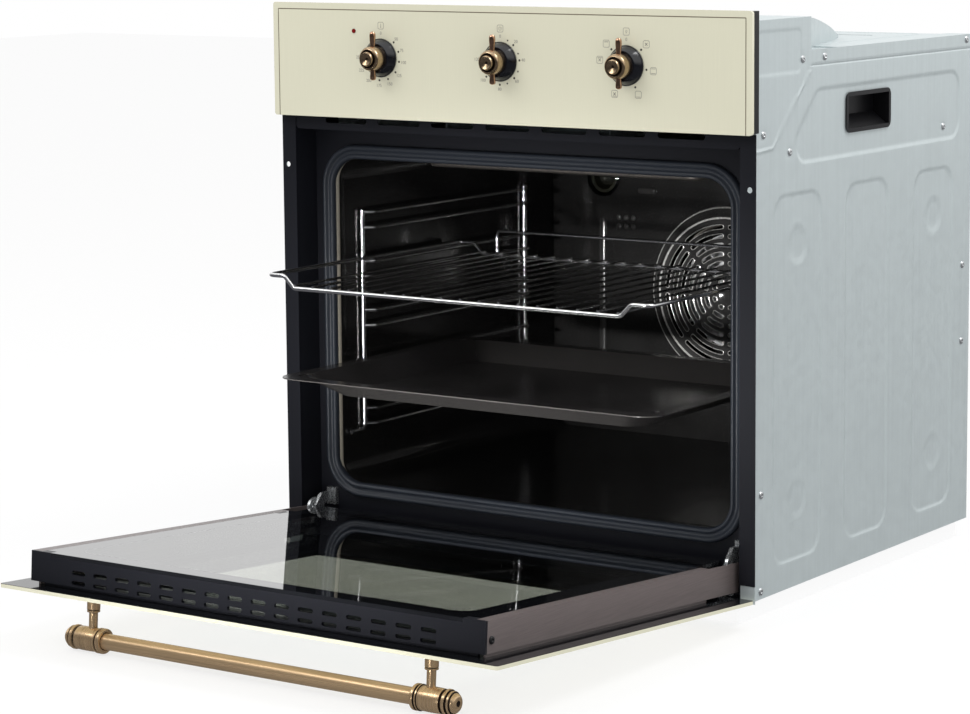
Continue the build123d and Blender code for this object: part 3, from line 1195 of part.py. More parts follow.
with BuildPart(DOOR) as door_top_trim:
    door_block(-BOX_HALF, BOX_HALF, TRIM_LOW, DOOR_BOX_TOP, SEAM_TOP, INNER_GLASS_INSET)
    door_block(-PROFILE_INNER, PROFILE_INNER, DOOR_BOX_TOP - 12, TRIM_LOW, SEAM_TOP, SEAM_TOP + TRIM_LIP_WALL)
    door_block(-PROFILE_INNER, PROFILE_INNER, DOOR_BOX_TOP - 10, DOOR_BOX_TOP - 7, GLASS, SEAM_TOP)
    door_block(-NOTCH_X + FIT, NOTCH_X - FIT, TRIM_LIP, TRIM_LOW,
               MIDDLE_GLASS_HEIGHT - MIDDLE_LIP_WALL, MIDDLE_GLASS_HEIGHT)
    door_block(-PROFILE_INNER, PROFILE_INNER, TRIM_LIP, TRIM_LOW,
               INNER_GLASS_INSET - TRIM_LIP_WALL, INNER_GLASS_INSET)
    for side in (-1, 1):
        door_side_block(side, BLOCK_INNER, PROFILE_INNER, DOOR_BOX_TOP - CORNER_BLOCK, DOOR_BOX_TOP,
                        INNER_GLASS_INSET, DOOR_THICKNESS)
        door_side_block(side, PROFILE_INNER, BOX_HALF, TRIM_LOW, DOOR_BOX_TOP,
                        INNER_GLASS_INSET, DOOR_THICKNESS)
    # Two rows of vents through the face
    with BuildSketch(Plane(origin=VENT_FACE, x_dir=(1, 0, 0), z_dir=-DOOR.y_dir)):
        with Locations((0, DOOR_VENT_INSET)):
            with GridLocations(DOOR_VENT_PITCH, DOOR_VENT_ROW_PITCH, DOOR_VENT_COLUMNS, 2):
                SlotOverall(DOOR_VENT_LENGTH, DOOR_VENT_HEIGHT)
    extrude(amount=-TRIM_WALL - 2, mode=Mode.SUBTRACT)
door_top_trim.part.label = "door_top_trim"
export_step(door_top_trim.part, "parts/door_top_trim.step")


# Side profiles: channels along the door's sides, open at the hinges
SEAM_WALL_X = BOX_HALF - 6
LEDGE_X = BOX_HALF - 10
LEDGE_WALL = 1.5

with BuildPart(DOOR) as door_side_profiles:
    low = DOOR_BOX_BOTTOM
    high = TRIM_LOW
    for side in (-1, 1):
        door_side_block(side, BOX_HALF - PROFILE_WALL, BOX_HALF, low, high, SEAM_TOP, DOOR_THICKNESS)
        door_side_block(side, PROFILE_INNER, BOX_HALF, low, high,
                        DOOR_THICKNESS - PROFILE_WALL, DOOR_THICKNESS)
        door_side_block(side, LEDGE_X, BOX_HALF, low, high, SEAM_TOP, SEAM_TOP + LEDGE_WALL)
        door_side_block(side, SEAM_WALL_X, SEAM_WALL_X + PROFILE_WALL, DOOR_BOTTOM, high - 4, GLASS, SEAM_TOP)
        door_side_block(side, 0, BOX_HALF - PROFILE_WALL, 0, HINGE_NOTCH_TOP,
                        0, DOOR_THICKNESS + 1, Mode.SUBTRACT)
door_side_profiles.part.label = "door_side_profiles"
export_step(door_side_profiles.part, "parts/door_side_profiles.step")


# Bottom rail of the door
RAIL_HALF = NOTCH_X - 1
RAIL_LIP = 17.0

with BuildPart(DOOR) as door_bottom_rail:
    low = DOOR_BOX_BOTTOM
    door_block(-RAIL_HALF, RAIL_HALF, low, low + TRIM_WALL, SEAM_TOP, INNER_GLASS_INSET)
    door_block(-RAIL_HALF, RAIL_HALF, low + TRIM_WALL, low + RAIL_LIP, SEAM_TOP, SEAM_TOP + TRIM_LIP_WALL)
    door_block(-RAIL_HALF, RAIL_HALF, low + RAIL_LIP - 3, low + RAIL_LIP, GLASS, SEAM_TOP)
    door_block(-RAIL_HALF, RAIL_HALF, low + TRIM_WALL, HINGE_NOTCH_TOP + 6,
               MIDDLE_GLASS_HEIGHT - MIDDLE_LIP_WALL, MIDDLE_GLASS_HEIGHT)
    door_block(-RAIL_HALF, RAIL_HALF, low + TRIM_WALL, low + RAIL_LIP,
               INNER_GLASS_INSET - TRIM_LIP_WALL, INNER_GLASS_INSET)
door_bottom_rail.part.label = "door_bottom_rail"
export_step(door_bottom_rail.part, "parts/door_bottom_rail.step")


# Clips that hold the inner glass
with BuildPart(DOOR) as door_clips:
    for side in (-1, 1):
        door_side_block(side, CLIP_INNER + FIT, PROFILE_INNER - FIT, CLIP_BOTTOM + FIT, CLIP_TOP - FIT,
                        INNER_GLASS_INSET, DOOR_THICKNESS)
door_clips.part.label = "door_clips"
export_step(door_clips.part, "parts/door_clips.step")


# Hinge bodies: closed channels in the side profiles, with cheeks that carry the pin
BODY_INNER = BOX_HALF - 18
BODY_OUTER = BOX_HALF - 4.5
BODY_BOTTOM = HINGE_NOTCH_TOP + 2
BODY_TOP = 250.0
BODY_WALL = 1.5
BODY_INSET0 = SEAM_TOP + LEDGE_WALL + FIT
BODY_INSET1 = INNER_GLASS_INSET
CHEEK_RADIUS = 6.0
CHEEKS = [(BOX_HALF - 16, BOX_HALF - 13.5), (BOX_HALF - 4.3, BOX_HALF - 2.3)]
CHEEK_INSET1 = 22.0

with BuildPart(DOOR) as hinge_bodies:
    for side in (-1, 1):
        door_side_block(side, BODY_INNER, BODY_OUTER, BODY_BOTTOM, BODY_TOP, BODY_INSET0, BODY_INSET1)
        door_side_block(side, BODY_INNER + BODY_WALL, BODY_OUTER - BODY_WALL,
                        BODY_BOTTOM + BODY_WALL, BODY_TOP - BODY_WALL,
                        BODY_INSET0 + BODY_WALL, BODY_INSET1 - BODY_WALL, Mode.SUBTRACT)
        for x0, x1 in CHEEKS:
            door_side_block(side, x0, x1, PIVOT_Z, BODY_BOTTOM + 6, BODY_INSET0, CHEEK_INSET1)
            rod((side * x0, 0, PIVOT_INSET), (side * x1, 0, PIVOT_INSET), CHEEK_RADIUS)
        outer_cheek = CHEEKS[1]
        door_side_block(side, BODY_OUTER - 0.5, outer_cheek[1], BODY_BOTTOM, BODY_BOTTOM + 6,
                        BODY_INSET0, CHEEK_INSET1)
        rod((side * CHEEKS[0][0], 0, PIVOT_INSET), (side * CHEEKS[1][1], 0, PIVOT_INSET), HINGE_PIN_RADIUS)
hinge_bodies.part.label = "hinge_bodies"
export_step(hinge_bodies.part, "parts/hinge_bodies.step")


# Springs inside the hinge bodies, on their rods
SPRING_X = (BODY_INNER + BODY_OUTER) / 2
SPRING_INSET = 21.0
SPRING_START = BODY_BOTTOM + BODY_WALL + 20
ROD_RADIUS = 2.0

with BuildPart(DOOR) as hinge_springs:
    for side in (-1, 1):
        x = side * SPRING_X
        low = PIVOT_Z - (BODY_BOTTOM + BODY_WALL + FIT)
        rod((x, low, SPRING_INSET), (x, PIVOT_Z - SPRING_START, SPRING_INSET), ROD_RADIUS)
        rod((x, PIVOT_Z - SPRING_START, SPRING_INSET),
            (x, PIVOT_Z - SPRING_START - SPRING_LENGTH, SPRING_INSET), SPRING_RADIUS)
hinge_springs.part.label = "hinge_springs"
export_step(hinge_springs.part, "parts/hinge_springs.step")


# Hinge arms: plates from the pins to the receivers on the front frame
ARM_X0 = HINGE_ARM_X - HINGE_ARM_THICKNESS / 2
ARM_X1 = HINGE_ARM_X + HINGE_ARM_THICKNESS / 2
LOCK_DEPTH = 6.0
LOCK_Z = 40.0
ARM_LOW = RECEIVER_BOTTOM + 4
ARM_HIGH = RECEIVER_TOP - 3.5

with BuildPart() as hinge_arms:
    for side in (-1, 1):
        with BuildSketch(side_plane(side * HINGE_ARM_X)):
            with BuildLine():
                Polyline(
                    (PIVOT_DEPTH - 5, PIVOT_Z + 3),
                    (1, LOCK_Z + 5),
                    (12, ARM_HIGH),
                    (RECESS_DEPTH - FIT, ARM_HIGH),
                    (RECESS_DEPTH - FIT, ARM_LOW),
                    (18, ARM_LOW),
                    (12, LOCK_Z - 4),
                    (PIVOT_DEPTH + 5, PIVOT_Z - 3),
                    close=True,
                )
            make_face()
            with Locations((PIVOT_DEPTH, PIVOT_Z)):
                Circle(CHEEK_RADIUS)
                Circle(HINGE_PIN_RADIUS + SHAFT_CLEARANCE, mode=Mode.SUBTRACT)
            with Locations((LOCK_DEPTH, LOCK_Z)):
                Circle(LOCK_PIN_RADIUS + SHAFT_CLEARANCE, mode=Mode.SUBTRACT)
        extrude(amount=HINGE_ARM_THICKNESS / 2, both=True)
hinge_arms.part.label = "hinge_arms"
export_step(hinge_arms.part, "parts/hinge_arms.step")

with BuildPart() as hinge_receivers:
    for side in (-1, 1):
        side_block(side, ARM_X0 - 5, ARM_X1 + 3, RECESS_DEPTH - RECEIVER_PROUD, RECESS_DEPTH,
                   RECEIVER_BOTTOM, RECEIVER_TOP)
        side_block(side, ARM_X0 - SHAFT_CLEARANCE, ARM_X1 + SHAFT_CLEARANCE,
                   RECESS_DEPTH - RECEIVER_PROUD - 1, RECESS_DEPTH + 1,
                   ARM_LOW - SHAFT_CLEARANCE, ARM_HIGH + SHAFT_CLEARANCE, Mode.SUBTRACT)
hinge_receivers.part.label = "hinge_receivers"
export_step(hinge_receivers.part, "parts/hinge_receivers.step")


# Hinge locks: hooked levers beside the arms, each on its pin
LOCK_RADIUS = 12.5
LOCK_INNER_RADIUS = 7.0
LOCK_HUB = 4.0
LOCK_GAP = 0.2

for side, side_name in ((-1, "left"), (1, "right")):
    lock_x = side * (ARM_X1 + LOCK_GAP)
    with BuildPart() as hinge_lock:
        with BuildSketch(side_plane(lock_x)) as lock_face:
            with Locations((LOCK_DEPTH, LOCK_Z)):
                Circle(LOCK_RADIUS)
                Circle(LOCK_INNER_RADIUS, mode=Mode.SUBTRACT)
            with BuildLine():
                Polyline(
                    (LOCK_DEPTH, LOCK_Z),
                    (LOCK_DEPTH + 30, LOCK_Z + 6),
                    (LOCK_DEPTH + 30, LOCK_Z - 40),
                    (LOCK_DEPTH - 12, LOCK_Z - 20),
                    close=True,
                )
            make_face(mode=Mode.SUBTRACT)
            with Locations((LOCK_DEPTH, LOCK_Z)):
                Circle(LOCK_HUB)
            with Locations((LOCK_DEPTH, LOCK_Z + LOCK_INNER_RADIUS)):
                Rectangle(5, LOCK_INNER_RADIUS)
        extrude(amount=side * LOCK_THICKNESS)
        rod((lock_x, FRONT + LOCK_DEPTH, LOCK_Z),
            (side * (ARM_X0 - 1), FRONT + LOCK_DEPTH, LOCK_Z), LOCK_PIN_RADIUS)
    hinge_lock.part.label = f"hinge_lock_{side_name}"
    export_step(hinge_lock.part, f"parts/hinge_lock_{side_name}.step")


# Handle: a round bar between two ringed ends on posts
HANDLE_LINE = DOOR.from_local_coords(Vector(0, PIVOT_Z - HANDLE_Z, -HANDLE_PROUD))
HANDLE_PLANE = Plane(origin=HANDLE_LINE, x_dir=(1, 0, 0), z_dir=DOOR.y_dir)
RING = HANDLE_END_RADIUS

with BuildPart(DOOR) as handle_ends:
    for side in (-1, 1):
        with BuildSketch(HANDLE_PLANE):
            with BuildLine():
                Polyline(
                    (side * HANDLE_END_INNER, 0),
                    (side * HANDLE_END_INNER, RING - 1.5),
                    (side * (HANDLE_END_INNER + 1), RING),
                    (side * (HANDLE_END_INNER + 3.5), RING),
                    (side * (HANDLE_END_INNER + 4), RING - 1.5),
                    (side * (HANDLE_END_INNER + 5.5), RING - 1.5),
                    (side * (HANDLE_END_INNER + 6), RING),
                    (side * (HANDLE_END_INNER + 8), RING),
                    (side * (HANDLE_END_INNER + 8.5), RING - 1.2),
                    (side * (HANDLE_HALF - 14), RING - 0.6),
                    (side * (HANDLE_HALF - 13), RING - 2.5),
                    (side * (HANDLE_HALF - 11.5), RING - 2.5),
                    (side * (HANDLE_HALF - 11), RING - 0.3),
                    (side * (HANDLE_HALF - 8), RING - 0.3),
                    (side * (HANDLE_HALF - 7.5), RING - 2.5),
                    (side * (HANDLE_HALF - 6.5), RING - 2.5),
                    (side * (HANDLE_HALF - 6), RING - 1.5),
                    (side * (HANDLE_HALF - 3), RING - 2.5),
                    (side * (HANDLE_HALF - 0.8), RING - 5.5),
                    (side * HANDLE_HALF, 0),
                    close=True,
                )
            make_face()
        revolve(axis=Axis(HANDLE_LINE, (1, 0, 0)))
        post_y = PIVOT_Z - HANDLE_Z
        post_x = side * HANDLE_POST_X
        rod((post_x, post_y, 0), (post_x, post_y, -HANDLE_COLLAR_LENGTH), HANDLE_COLLAR_RADIUS)
        rod((post_x, post_y, -HANDLE_COLLAR_LENGTH), (post_x, post_y, -HANDLE_PROUD), HANDLE_NECK_RADIUS)
handle_ends.part.label = "handle_ends"
export_step(handle_ends.part, "parts/handle_ends.step")

with BuildPart(DOOR) as handle_bar:
    rod((-HANDLE_END_INNER, PIVOT_Z - HANDLE_Z, -HANDLE_PROUD),
        (HANDLE_END_INNER, PIVOT_Z - HANDLE_Z, -HANDLE_PROUD), HANDLE_BAR_RADIUS)
handle_bar.part.label = "handle_bar"
export_step(handle_bar.part, "parts/handle_bar.step")
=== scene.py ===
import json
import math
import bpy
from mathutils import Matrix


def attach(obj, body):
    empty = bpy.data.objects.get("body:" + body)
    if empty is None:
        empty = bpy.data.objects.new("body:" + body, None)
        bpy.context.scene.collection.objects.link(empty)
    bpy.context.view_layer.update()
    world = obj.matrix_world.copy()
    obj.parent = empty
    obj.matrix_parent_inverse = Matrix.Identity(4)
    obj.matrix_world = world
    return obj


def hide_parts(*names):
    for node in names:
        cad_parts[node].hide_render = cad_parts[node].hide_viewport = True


bl_info = {
    "name": "Built-in oven",
    "version": (1, 0, 0),
    "blender": (4, 5, 0),
    "location": "3D View > Sidebar > Oven",
    "description": "Builds the looks of a built-in oven round its packed frame",
    "category": "Object",
}

from contextlib import contextmanager

import bmesh
import bpy
import numpy as np
from mathutils import Euler, Matrix, Vector

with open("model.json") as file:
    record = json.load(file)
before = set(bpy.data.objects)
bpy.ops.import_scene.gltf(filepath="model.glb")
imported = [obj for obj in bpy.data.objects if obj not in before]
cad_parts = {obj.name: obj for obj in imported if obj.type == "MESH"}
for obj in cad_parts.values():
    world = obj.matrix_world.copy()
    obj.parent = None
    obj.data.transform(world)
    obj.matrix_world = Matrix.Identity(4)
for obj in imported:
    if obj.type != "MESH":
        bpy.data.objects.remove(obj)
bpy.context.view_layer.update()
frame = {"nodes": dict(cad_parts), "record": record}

MM = 0.001

# The frame's own places, in metres
FRONT = -0.257
PIVOT = Vector((0.0, -0.2577, 0.0165))
DOOR_TILT = math.radians(4.16)
DOOR_INWARD = Vector((0.0, math.sin(DOOR_TILT), math.cos(DOOR_TILT)))
DOOR_DOWN = Vector((0.0, math.cos(DOOR_TILT), -math.sin(DOOR_TILT)))
DOOR_ORIGIN = PIVOT - DOOR_INWARD * 0.0109
KNOBS = {"temperature": -0.153, "timer": 0.0, "function": 0.153}
KNOB_Z = 0.5405
PANEL_FACE = FRONT - 0.0116
FLOOR_Z = -0.0206

# And in millimetres: heights, half widths and depths behind the column fronts
PIVOT_HEIGHT = 16.5
FACIA_HALF = 297.5
FACIA_TOP = 597.5
DOOR_FOOT = 20.0
HANDLE_HEIGHT = 440.0
CASING_HALF = 280.0
CASING_DEPTH = 514.0
CASING_TOP = 552.0
HOUSING_TOP = 586.0
HOUSING_DEPTH = 140.0
FAN_HEIGHT = 245.0
FAN_COVER_DEPTH = 448.8
REAR_WALL_DEPTH = 460.0


class OvenSizes(bpy.types.PropertyGroup):
    """Sizes of the pieces that are made here."""

    pressing_depth: bpy.props.FloatProperty(
        name="Pressing depth", description="How deep the side panels' figures are pressed",
        default=0.0010, unit="LENGTH")
    pressing_edge: bpy.props.FloatProperty(
        name="Pressing edge", description="Width of the soft edge round a pressed figure",
        default=0.0046, unit="LENGTH")
    groove_inset: bpy.props.FloatProperty(
        name="Line inset", description="Distance of the fine line from the facia's edges",
        default=0.007, unit="LENGTH")
    groove_width: bpy.props.FloatProperty(
        name="Line width", description="Width of the fine line on the facia and the door",
        default=0.0010, unit="LENGTH")
    numeral_height: bpy.props.FloatProperty(
        name="Numeral height", description="Height of the dials' numerals",
        default=0.0034, unit="LENGTH")
    print_thickness: bpy.props.FloatProperty(
        name="Print thickness", description="How far the dials' print stands off the glass",
        default=0.00005, unit="LENGTH")
    slot_width: bpy.props.FloatProperty(
        name="Fan slot width", description="Width of the curved slots in the fan cover",
        default=0.006, unit="LENGTH")
    bend_radius: bpy.props.FloatProperty(
        name="Wire bend radius", description="Radius of the bends in the racks and the shelf",
        default=0.007, unit="LENGTH")


class OvenFinishes(bpy.types.PropertyGroup):
    """Colours of the finishes."""

    cream: bpy.props.FloatVectorProperty(
        name="Cream lacquer", description="Facia and door front", subtype="COLOR",
        default=(0.755, 0.735, 0.575))
    galvanised: bpy.props.FloatVectorProperty(
        name="Galvanised sheet", description="Casing", subtype="COLOR", default=(0.595, 0.66, 0.67))
    enamel: bpy.props.FloatVectorProperty(
        name="Oven enamel", description="Cavity, tray and fan cover", subtype="COLOR",
        default=(0.008, 0.0078, 0.0076))
    black_paint: bpy.props.FloatVectorProperty(
        name="Black paint", description="Front frame, columns and door trims", subtype="COLOR",
        default=(0.008, 0.0085, 0.012))
    brass: bpy.props.FloatVectorProperty(
        name="Antique brass", description="Knob grips and handle", subtype="COLOR",
        default=(0.80, 0.565, 0.335))
    rubber: bpy.props.FloatVectorProperty(
        name="Gasket rubber", description="Seal round the cavity mouth", subtype="COLOR",
        default=(0.016, 0.020, 0.028))


class OvenStudio(bpy.types.PropertyGroup):
    """Camera and light."""

    camera_place: bpy.props.FloatVectorProperty(
        name="Camera place", description="Where the camera stands", subtype="TRANSLATION",
        default=(1.76219, -2.83313, 0.71878), unit="LENGTH")
    yaw: bpy.props.FloatProperty(
        name="Yaw", description="Camera's turn to the left", default=math.radians(34.267),
        subtype="ANGLE")
    pitch: bpy.props.FloatProperty(
        name="Pitch", description="Camera's tilt downwards", default=math.radians(7.588),
        subtype="ANGLE")
    roll: bpy.props.FloatProperty(
        name="Roll", description="Camera's roll", default=math.radians(-0.441), subtype="ANGLE")
    lens: bpy.props.FloatProperty(
        name="Lens", description="Focal length for a 36 mm wide sensor", default=112.08)
    sky: bpy.props.FloatProperty(
        name="Room light", description="Brightness of the white room", default=0.92)
    key_power: bpy.props.FloatProperty(
        name="Key light", description="Power of the large soft light", default=26.0, subtype="POWER")
    side_power: bpy.props.FloatProperty(
        name="Side light", description="Power of the light on the casing's side", default=21.0,
        subtype="POWER")
    cavity_power: bpy.props.FloatProperty(
        name="Cavity light", description="Power of the light that looks into the cavity", default=0.8,
        subtype="POWER")


def sizes():
    return bpy.context.scene.oven_sizes


def colours():
    return bpy.context.scene.oven_finishes


def door_point(x, height, inset):
    """A point of the open door from its height when shut and its inset behind the outer face, in mm."""
    return (
        Vector((x * MM, 0.0, 0.0))
        + DOOR_ORIGIN
        + DOOR_DOWN * ((PIVOT_HEIGHT - height) * MM)
        + DOOR_INWARD * (inset * MM)
    )


def linked(name, data):
    """A new object in the scene."""
    holder = bpy.data.objects.new(name, data)
    bpy.context.scene.collection.objects.link(holder)
    return holder


def settled(holder):
    """The mesh that an object comes to. The object itself is removed."""
    seen = holder.evaluated_get(bpy.context.evaluated_depsgraph_get())
    mesh = bpy.data.meshes.new_from_object(seen)
    bpy.data.objects.remove(holder)
    return mesh


def bare_mesh(name, verts, faces):
    """A mesh from points and faces."""
    mesh = bpy.data.meshes.new(name)
    mesh.from_pydata([tuple(v) for v in verts], [], [tuple(f) for f in faces])
    return mesh


@contextmanager
def edited(mesh):
    """A mesh opened for editing and written back."""
    work = bmesh.new()
    work.from_mesh(mesh)
    yield work
    work.to_mesh(mesh)
    work.free()


def thickened(mesh, thickness):
    """A sheet given a thickness behind its face."""
    holder = linked("sheet being thickened", mesh)
    wall = holder.modifiers.new("Sheet", "SOLIDIFY")
    wall.thickness = thickness
    wall.offset = -1.0
    return settled(holder)


def mesh_piece(name, verts, faces, finishes, body, slot, replaced=(), face_finish=None, smooth=35):
    """A finished piece from vertices and faces: merged, turned outwards, smoothed and put on its body."""
    mesh = bare_mesh(name, verts, faces)
    if face_finish is not None:
        mesh.polygons.foreach_set("material_index", face_finish)
    finish_piece(name, mesh, finishes, body, slot, replaced, smooth)


def finish_piece(name, mesh, finishes, body, slot, replaced=(), smooth=35, tidy=True):
    """Puts a mesh into the scene as a piece that rides on a body."""
    if tidy:
        with edited(mesh) as work:
            bmesh.ops.remove_doubles(work, verts=work.verts, dist=1e-7)
            bmesh.ops.recalc_face_normals(work, faces=work.faces)
    # Changing the list of materials forgets which face has which, so the marks are put back
    marks = [face.material_index for face in mesh.polygons]
    mesh.materials.clear()
    for finish in finishes:
        mesh.materials.append(finish)
    if len(finishes) > 1:
        mesh.polygons.foreach_set("material_index", marks)
    mesh.shade_smooth()
    mesh.set_sharp_from_angle(angle=math.radians(smooth))
    piece = linked(name, mesh)
    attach(piece, body)
    if replaced:
        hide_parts(*replaced)


def metres(profile):
    """A profile of (radius, distance along the axis, mark) that is given in millimetres."""
    return [(radius * MM, along * MM, mark) for radius, along, mark in profile]


def turned(profile, centre, axis, side, segments=64):
    """Vertices, faces and finish marks of a turned form.

    The profile holds (radius, distance along the axis, mark).
    """
    axis = Vector(axis).normalized()
    side = Vector(side).normalized()
    other = axis.cross(side)
    verts, faces, marks, rings = [], [], [], []
    for radius, along, mark in profile:
        base = Vector(centre) + axis * along
        if radius < 1e-7:
            rings.append([len(verts)])
            verts.append(base)
            continue
        ring = []
        for step in range(segments):
            angle = 2 * math.pi * step / segments
            ring.append(len(verts))
            verts.append(base + side * (radius * math.cos(angle)) + other * (radius * math.sin(angle)))
        rings.append(ring)
    for index in range(len(rings) - 1):
        first, second = rings[index], rings[index + 1]
        mark = profile[index + 1][2]
        for step in range(segments):
            after = (step + 1) % segments
            if len(first) == 1 and len(second) == 1:
                continue
            if len(first) == 1:
                faces.append((first[0], second[step], second[after]))
            elif len(second) == 1:
                faces.append((first[step], second[0], first[after]))
            else:
                faces.append((first[step], second[step], second[after], first[after]))
            marks.append(mark)
    return verts, faces, marks


def joined(parts):
    """Several (vertices, faces, marks) put together."""
    verts, faces, marks = [], [], []
    for more_verts, more_faces, more_marks in parts:
        base = len(verts)
        verts.extend(more_verts)
        faces.extend(tuple(i + base for i in face) for face in more_faces)
        marks.extend(more_marks)
    return verts, faces, marks


def rounded_path(half, low, high, corner, steps=10):
    """Points and outward directions round a rectangle with round corners, in X and Z."""
    points = []
    centres = [
        (half - corner, high - corner, 0.0), (-half + corner, high - corner, 90.0),
        (-half + corner, low + corner, 180.0), (half - corner, low + corner, 270.0),
    ]
    for x, z, start in centres:
        for step in range(steps + 1):
            angle = math.radians(start + 90.0 * step / steps)
            out = (math.cos(angle), math.sin(angle))
            points.append(((x + corner * out[0], z + corner * out[1]), out))
    return points


def ring_along(path, profile, place):
    """A closed ring: the profile (outward, depth, mark) is swept round the path.

    place turns x, z and depth into a point.
    """
    verts, faces, marks = [], [], []
    count = len(profile)
    for (x, z), (out_x, out_z) in path:
        for outward, depth, _ in profile:
            verts.append(place(x + out_x * outward, z + out_z * outward, depth))
    for station in range(len(path)):
        following = (station + 1) % len(path)
        for index in range(count):
            after = (index + 1) % count
            faces.append((
                station * count + index, following * count + index,
                following * count + after, station * count + after,
            ))
            marks.append(profile[after][2])
    return verts, faces, marks


def roof_place(x, depth, height):
    """A point over the casing's roof from millimetres: X, depth behind the column fronts and height."""
    return Vector((x * MM, FRONT + depth * MM, height * MM))


def front_place(x, z, depth):
    """A point of the casing from millimetres: X, height and depth behind the column fronts."""
    return Vector((x * MM, FRONT + depth * MM, z * MM))


# Nodes


def put(tree, node, *given):
    """Gives inputs of a node a value each, or a socket to follow."""
    for name, value in given:
        if isinstance(value, bpy.types.NodeSocket):
            tree.links.new(value, node.inputs[name])
        else:
            node.inputs[name].default_value = value


def add(tree, kind, *given, **settings):
    """A new node with its settings and inputs."""
    node = tree.nodes.new(kind)
    for name, value in settings.items():
        setattr(node, name, value)
    put(tree, node, *given)
    return node


def new_finish(name):
    """A material with an output and a Principled shader."""
    finish = bpy.data.materials.new(name)
    finish.use_nodes = True
    tree = finish.node_tree
    tree.nodes.clear()
    output = add(tree, "ShaderNodeOutputMaterial")
    shader = add(tree, "ShaderNodeBsdfPrincipled")
    put(tree, output, ("Surface", shader.outputs["BSDF"]))
    return finish, tree, shader


def show(tree, shader):
    """Makes another shader the one that a material shows."""
    output = next(node for node in tree.nodes if node.type == "OUTPUT_MATERIAL")
    put(tree, output, ("Surface", shader))


def object_coordinates(tree, stretch=(1.0, 1.0, 1.0)):
    """Object coordinates, stretched along the grain."""
    place = add(tree, "ShaderNodeTexCoord").outputs["Object"]
    return add(tree, "ShaderNodeMapping", ("Vector", place), ("Scale", stretch)).outputs["Vector"]


def noise(tree, vector, scale, detail=3.0):
    """Cloudy noise, between 0 and 1."""
    return add(tree, "ShaderNodeTexNoise", ("Vector", vector), ("Scale", scale), ("Detail", detail),
               ("Roughness", 0.55)).outputs["Fac"]


def cells(tree, vector, scale):
    """A texture of small cells."""
    return add(tree, "ShaderNodeTexVoronoi", ("Vector", vector), ("Scale", scale))


def ranged(tree, value, low, high, out_low=0.0, out_high=1.0):
    """A value mapped from one range to another, and clamped."""
    return add(tree, "ShaderNodeMapRange", ("Value", value), ("From Min", low), ("From Max", high),
               ("To Min", out_low), ("To Max", out_high)).outputs["Result"]


def blended(tree, factor, first, second):
    """A colour between two, by a factor. Each may be a colour or a socket."""
    ends = [end if isinstance(end, bpy.types.NodeSocket) else (*end, 1.0) for end in (first, second)]
    return add(tree, "ShaderNodeMix", ("Factor", factor), (6, ends[0]), (7, ends[1]),
               data_type="RGBA").outputs[2]


def mixed(tree, factor, first, second):
    """A shader between two, by a factor."""
    return add(tree, "ShaderNodeMixShader", (0, factor), (1, first), (2, second)).outputs[0]


def computed(tree, operation, *values):
    """The result of an operation on one or two values."""
    return add(tree, "ShaderNodeMath", *enumerate(values), operation=operation).outputs[0]


def reach(tree, vector, direction):
    """How far a vector reaches in a direction."""
    return add(tree, "ShaderNodeVectorMath", (0, vector), (1, direction),
               operation="DOT_PRODUCT").outputs["Value"]


def relief(tree, height, strength, distance):
    """A bump from a height."""
    return add(tree, "ShaderNodeBump", ("Height", height), ("Strength", strength),
               ("Distance", distance)).outputs["Normal"]


def shaded(colour, share):
    return tuple(c * share for c in colour)


def grained(name, colour, other, metallic, rough, scale, stretch=(1.0, 1.0, 1.0), bump=0.1,
            depth=0.0002, coat=0.0, rough_change=0.08, specular=0.5):
    """A finish with a fine grain: two shades, uneven gloss and a slight relief."""
    finish, tree, shader = new_finish(name)
    fine = noise(tree, object_coordinates(tree, stretch), scale, 4.0)
    broad = noise(tree, object_coordinates(tree), 9.0, 2.0)
    spread = computed(tree, "MULTIPLY", ranged(tree, fine, 0.3, 0.7),
                      ranged(tree, broad, 0.25, 0.75, 0.6, 1.0))
    glossiest, dullest = max(0.02, rough - rough_change), min(1.0, rough + rough_change)
    put(tree, shader,
        ("Base Color", blended(tree, spread, colour, other)),
        ("Roughness", ranged(tree, fine, 0.3, 0.7, glossiest, dullest)),
        ("Normal", relief(tree, fine, bump, depth)),
        ("Metallic", metallic), ("Specular IOR Level", specular))
    if coat:
        put(tree, shader, ("Coat Weight", coat), ("Coat Roughness", 0.06))
    return finish


def spangled(name, colour):
    """Galvanised sheet: faint zinc flakes and streaks over a soft sheen."""
    finish, tree, shader = new_finish(name)
    vector = object_coordinates(tree)
    flakes = cells(tree, vector, 130.0).outputs["Color"]
    split = add(tree, "ShaderNodeSeparateColor", ("Color", flakes)).outputs
    cloud = noise(tree, vector, 6.0)
    streaks = noise(tree, object_coordinates(tree, (1.0, 1.0, 0.03)), 190.0)
    tone = blended(tree, ranged(tree, split[0], 0.0, 1.0), shaded(colour, 0.975), colour)
    tone = blended(tree, ranged(tree, streaks, 0.35, 0.7, 0.0, 0.6), tone, shaded(colour, 0.90))
    tone = blended(tree, ranged(tree, cloud, 0.35, 0.65, 0.0, 0.35), tone, shaded(colour, 0.93))
    put(tree, shader,
        ("Base Color", tone),
        ("Roughness", ranged(tree, split[1], 0.0, 1.0, 0.36, 0.46)),
        ("Normal", relief(tree, noise(tree, vector, 900.0, 2.0), 0.04, 0.0001)),
        ("Metallic", 0.35))
    return finish


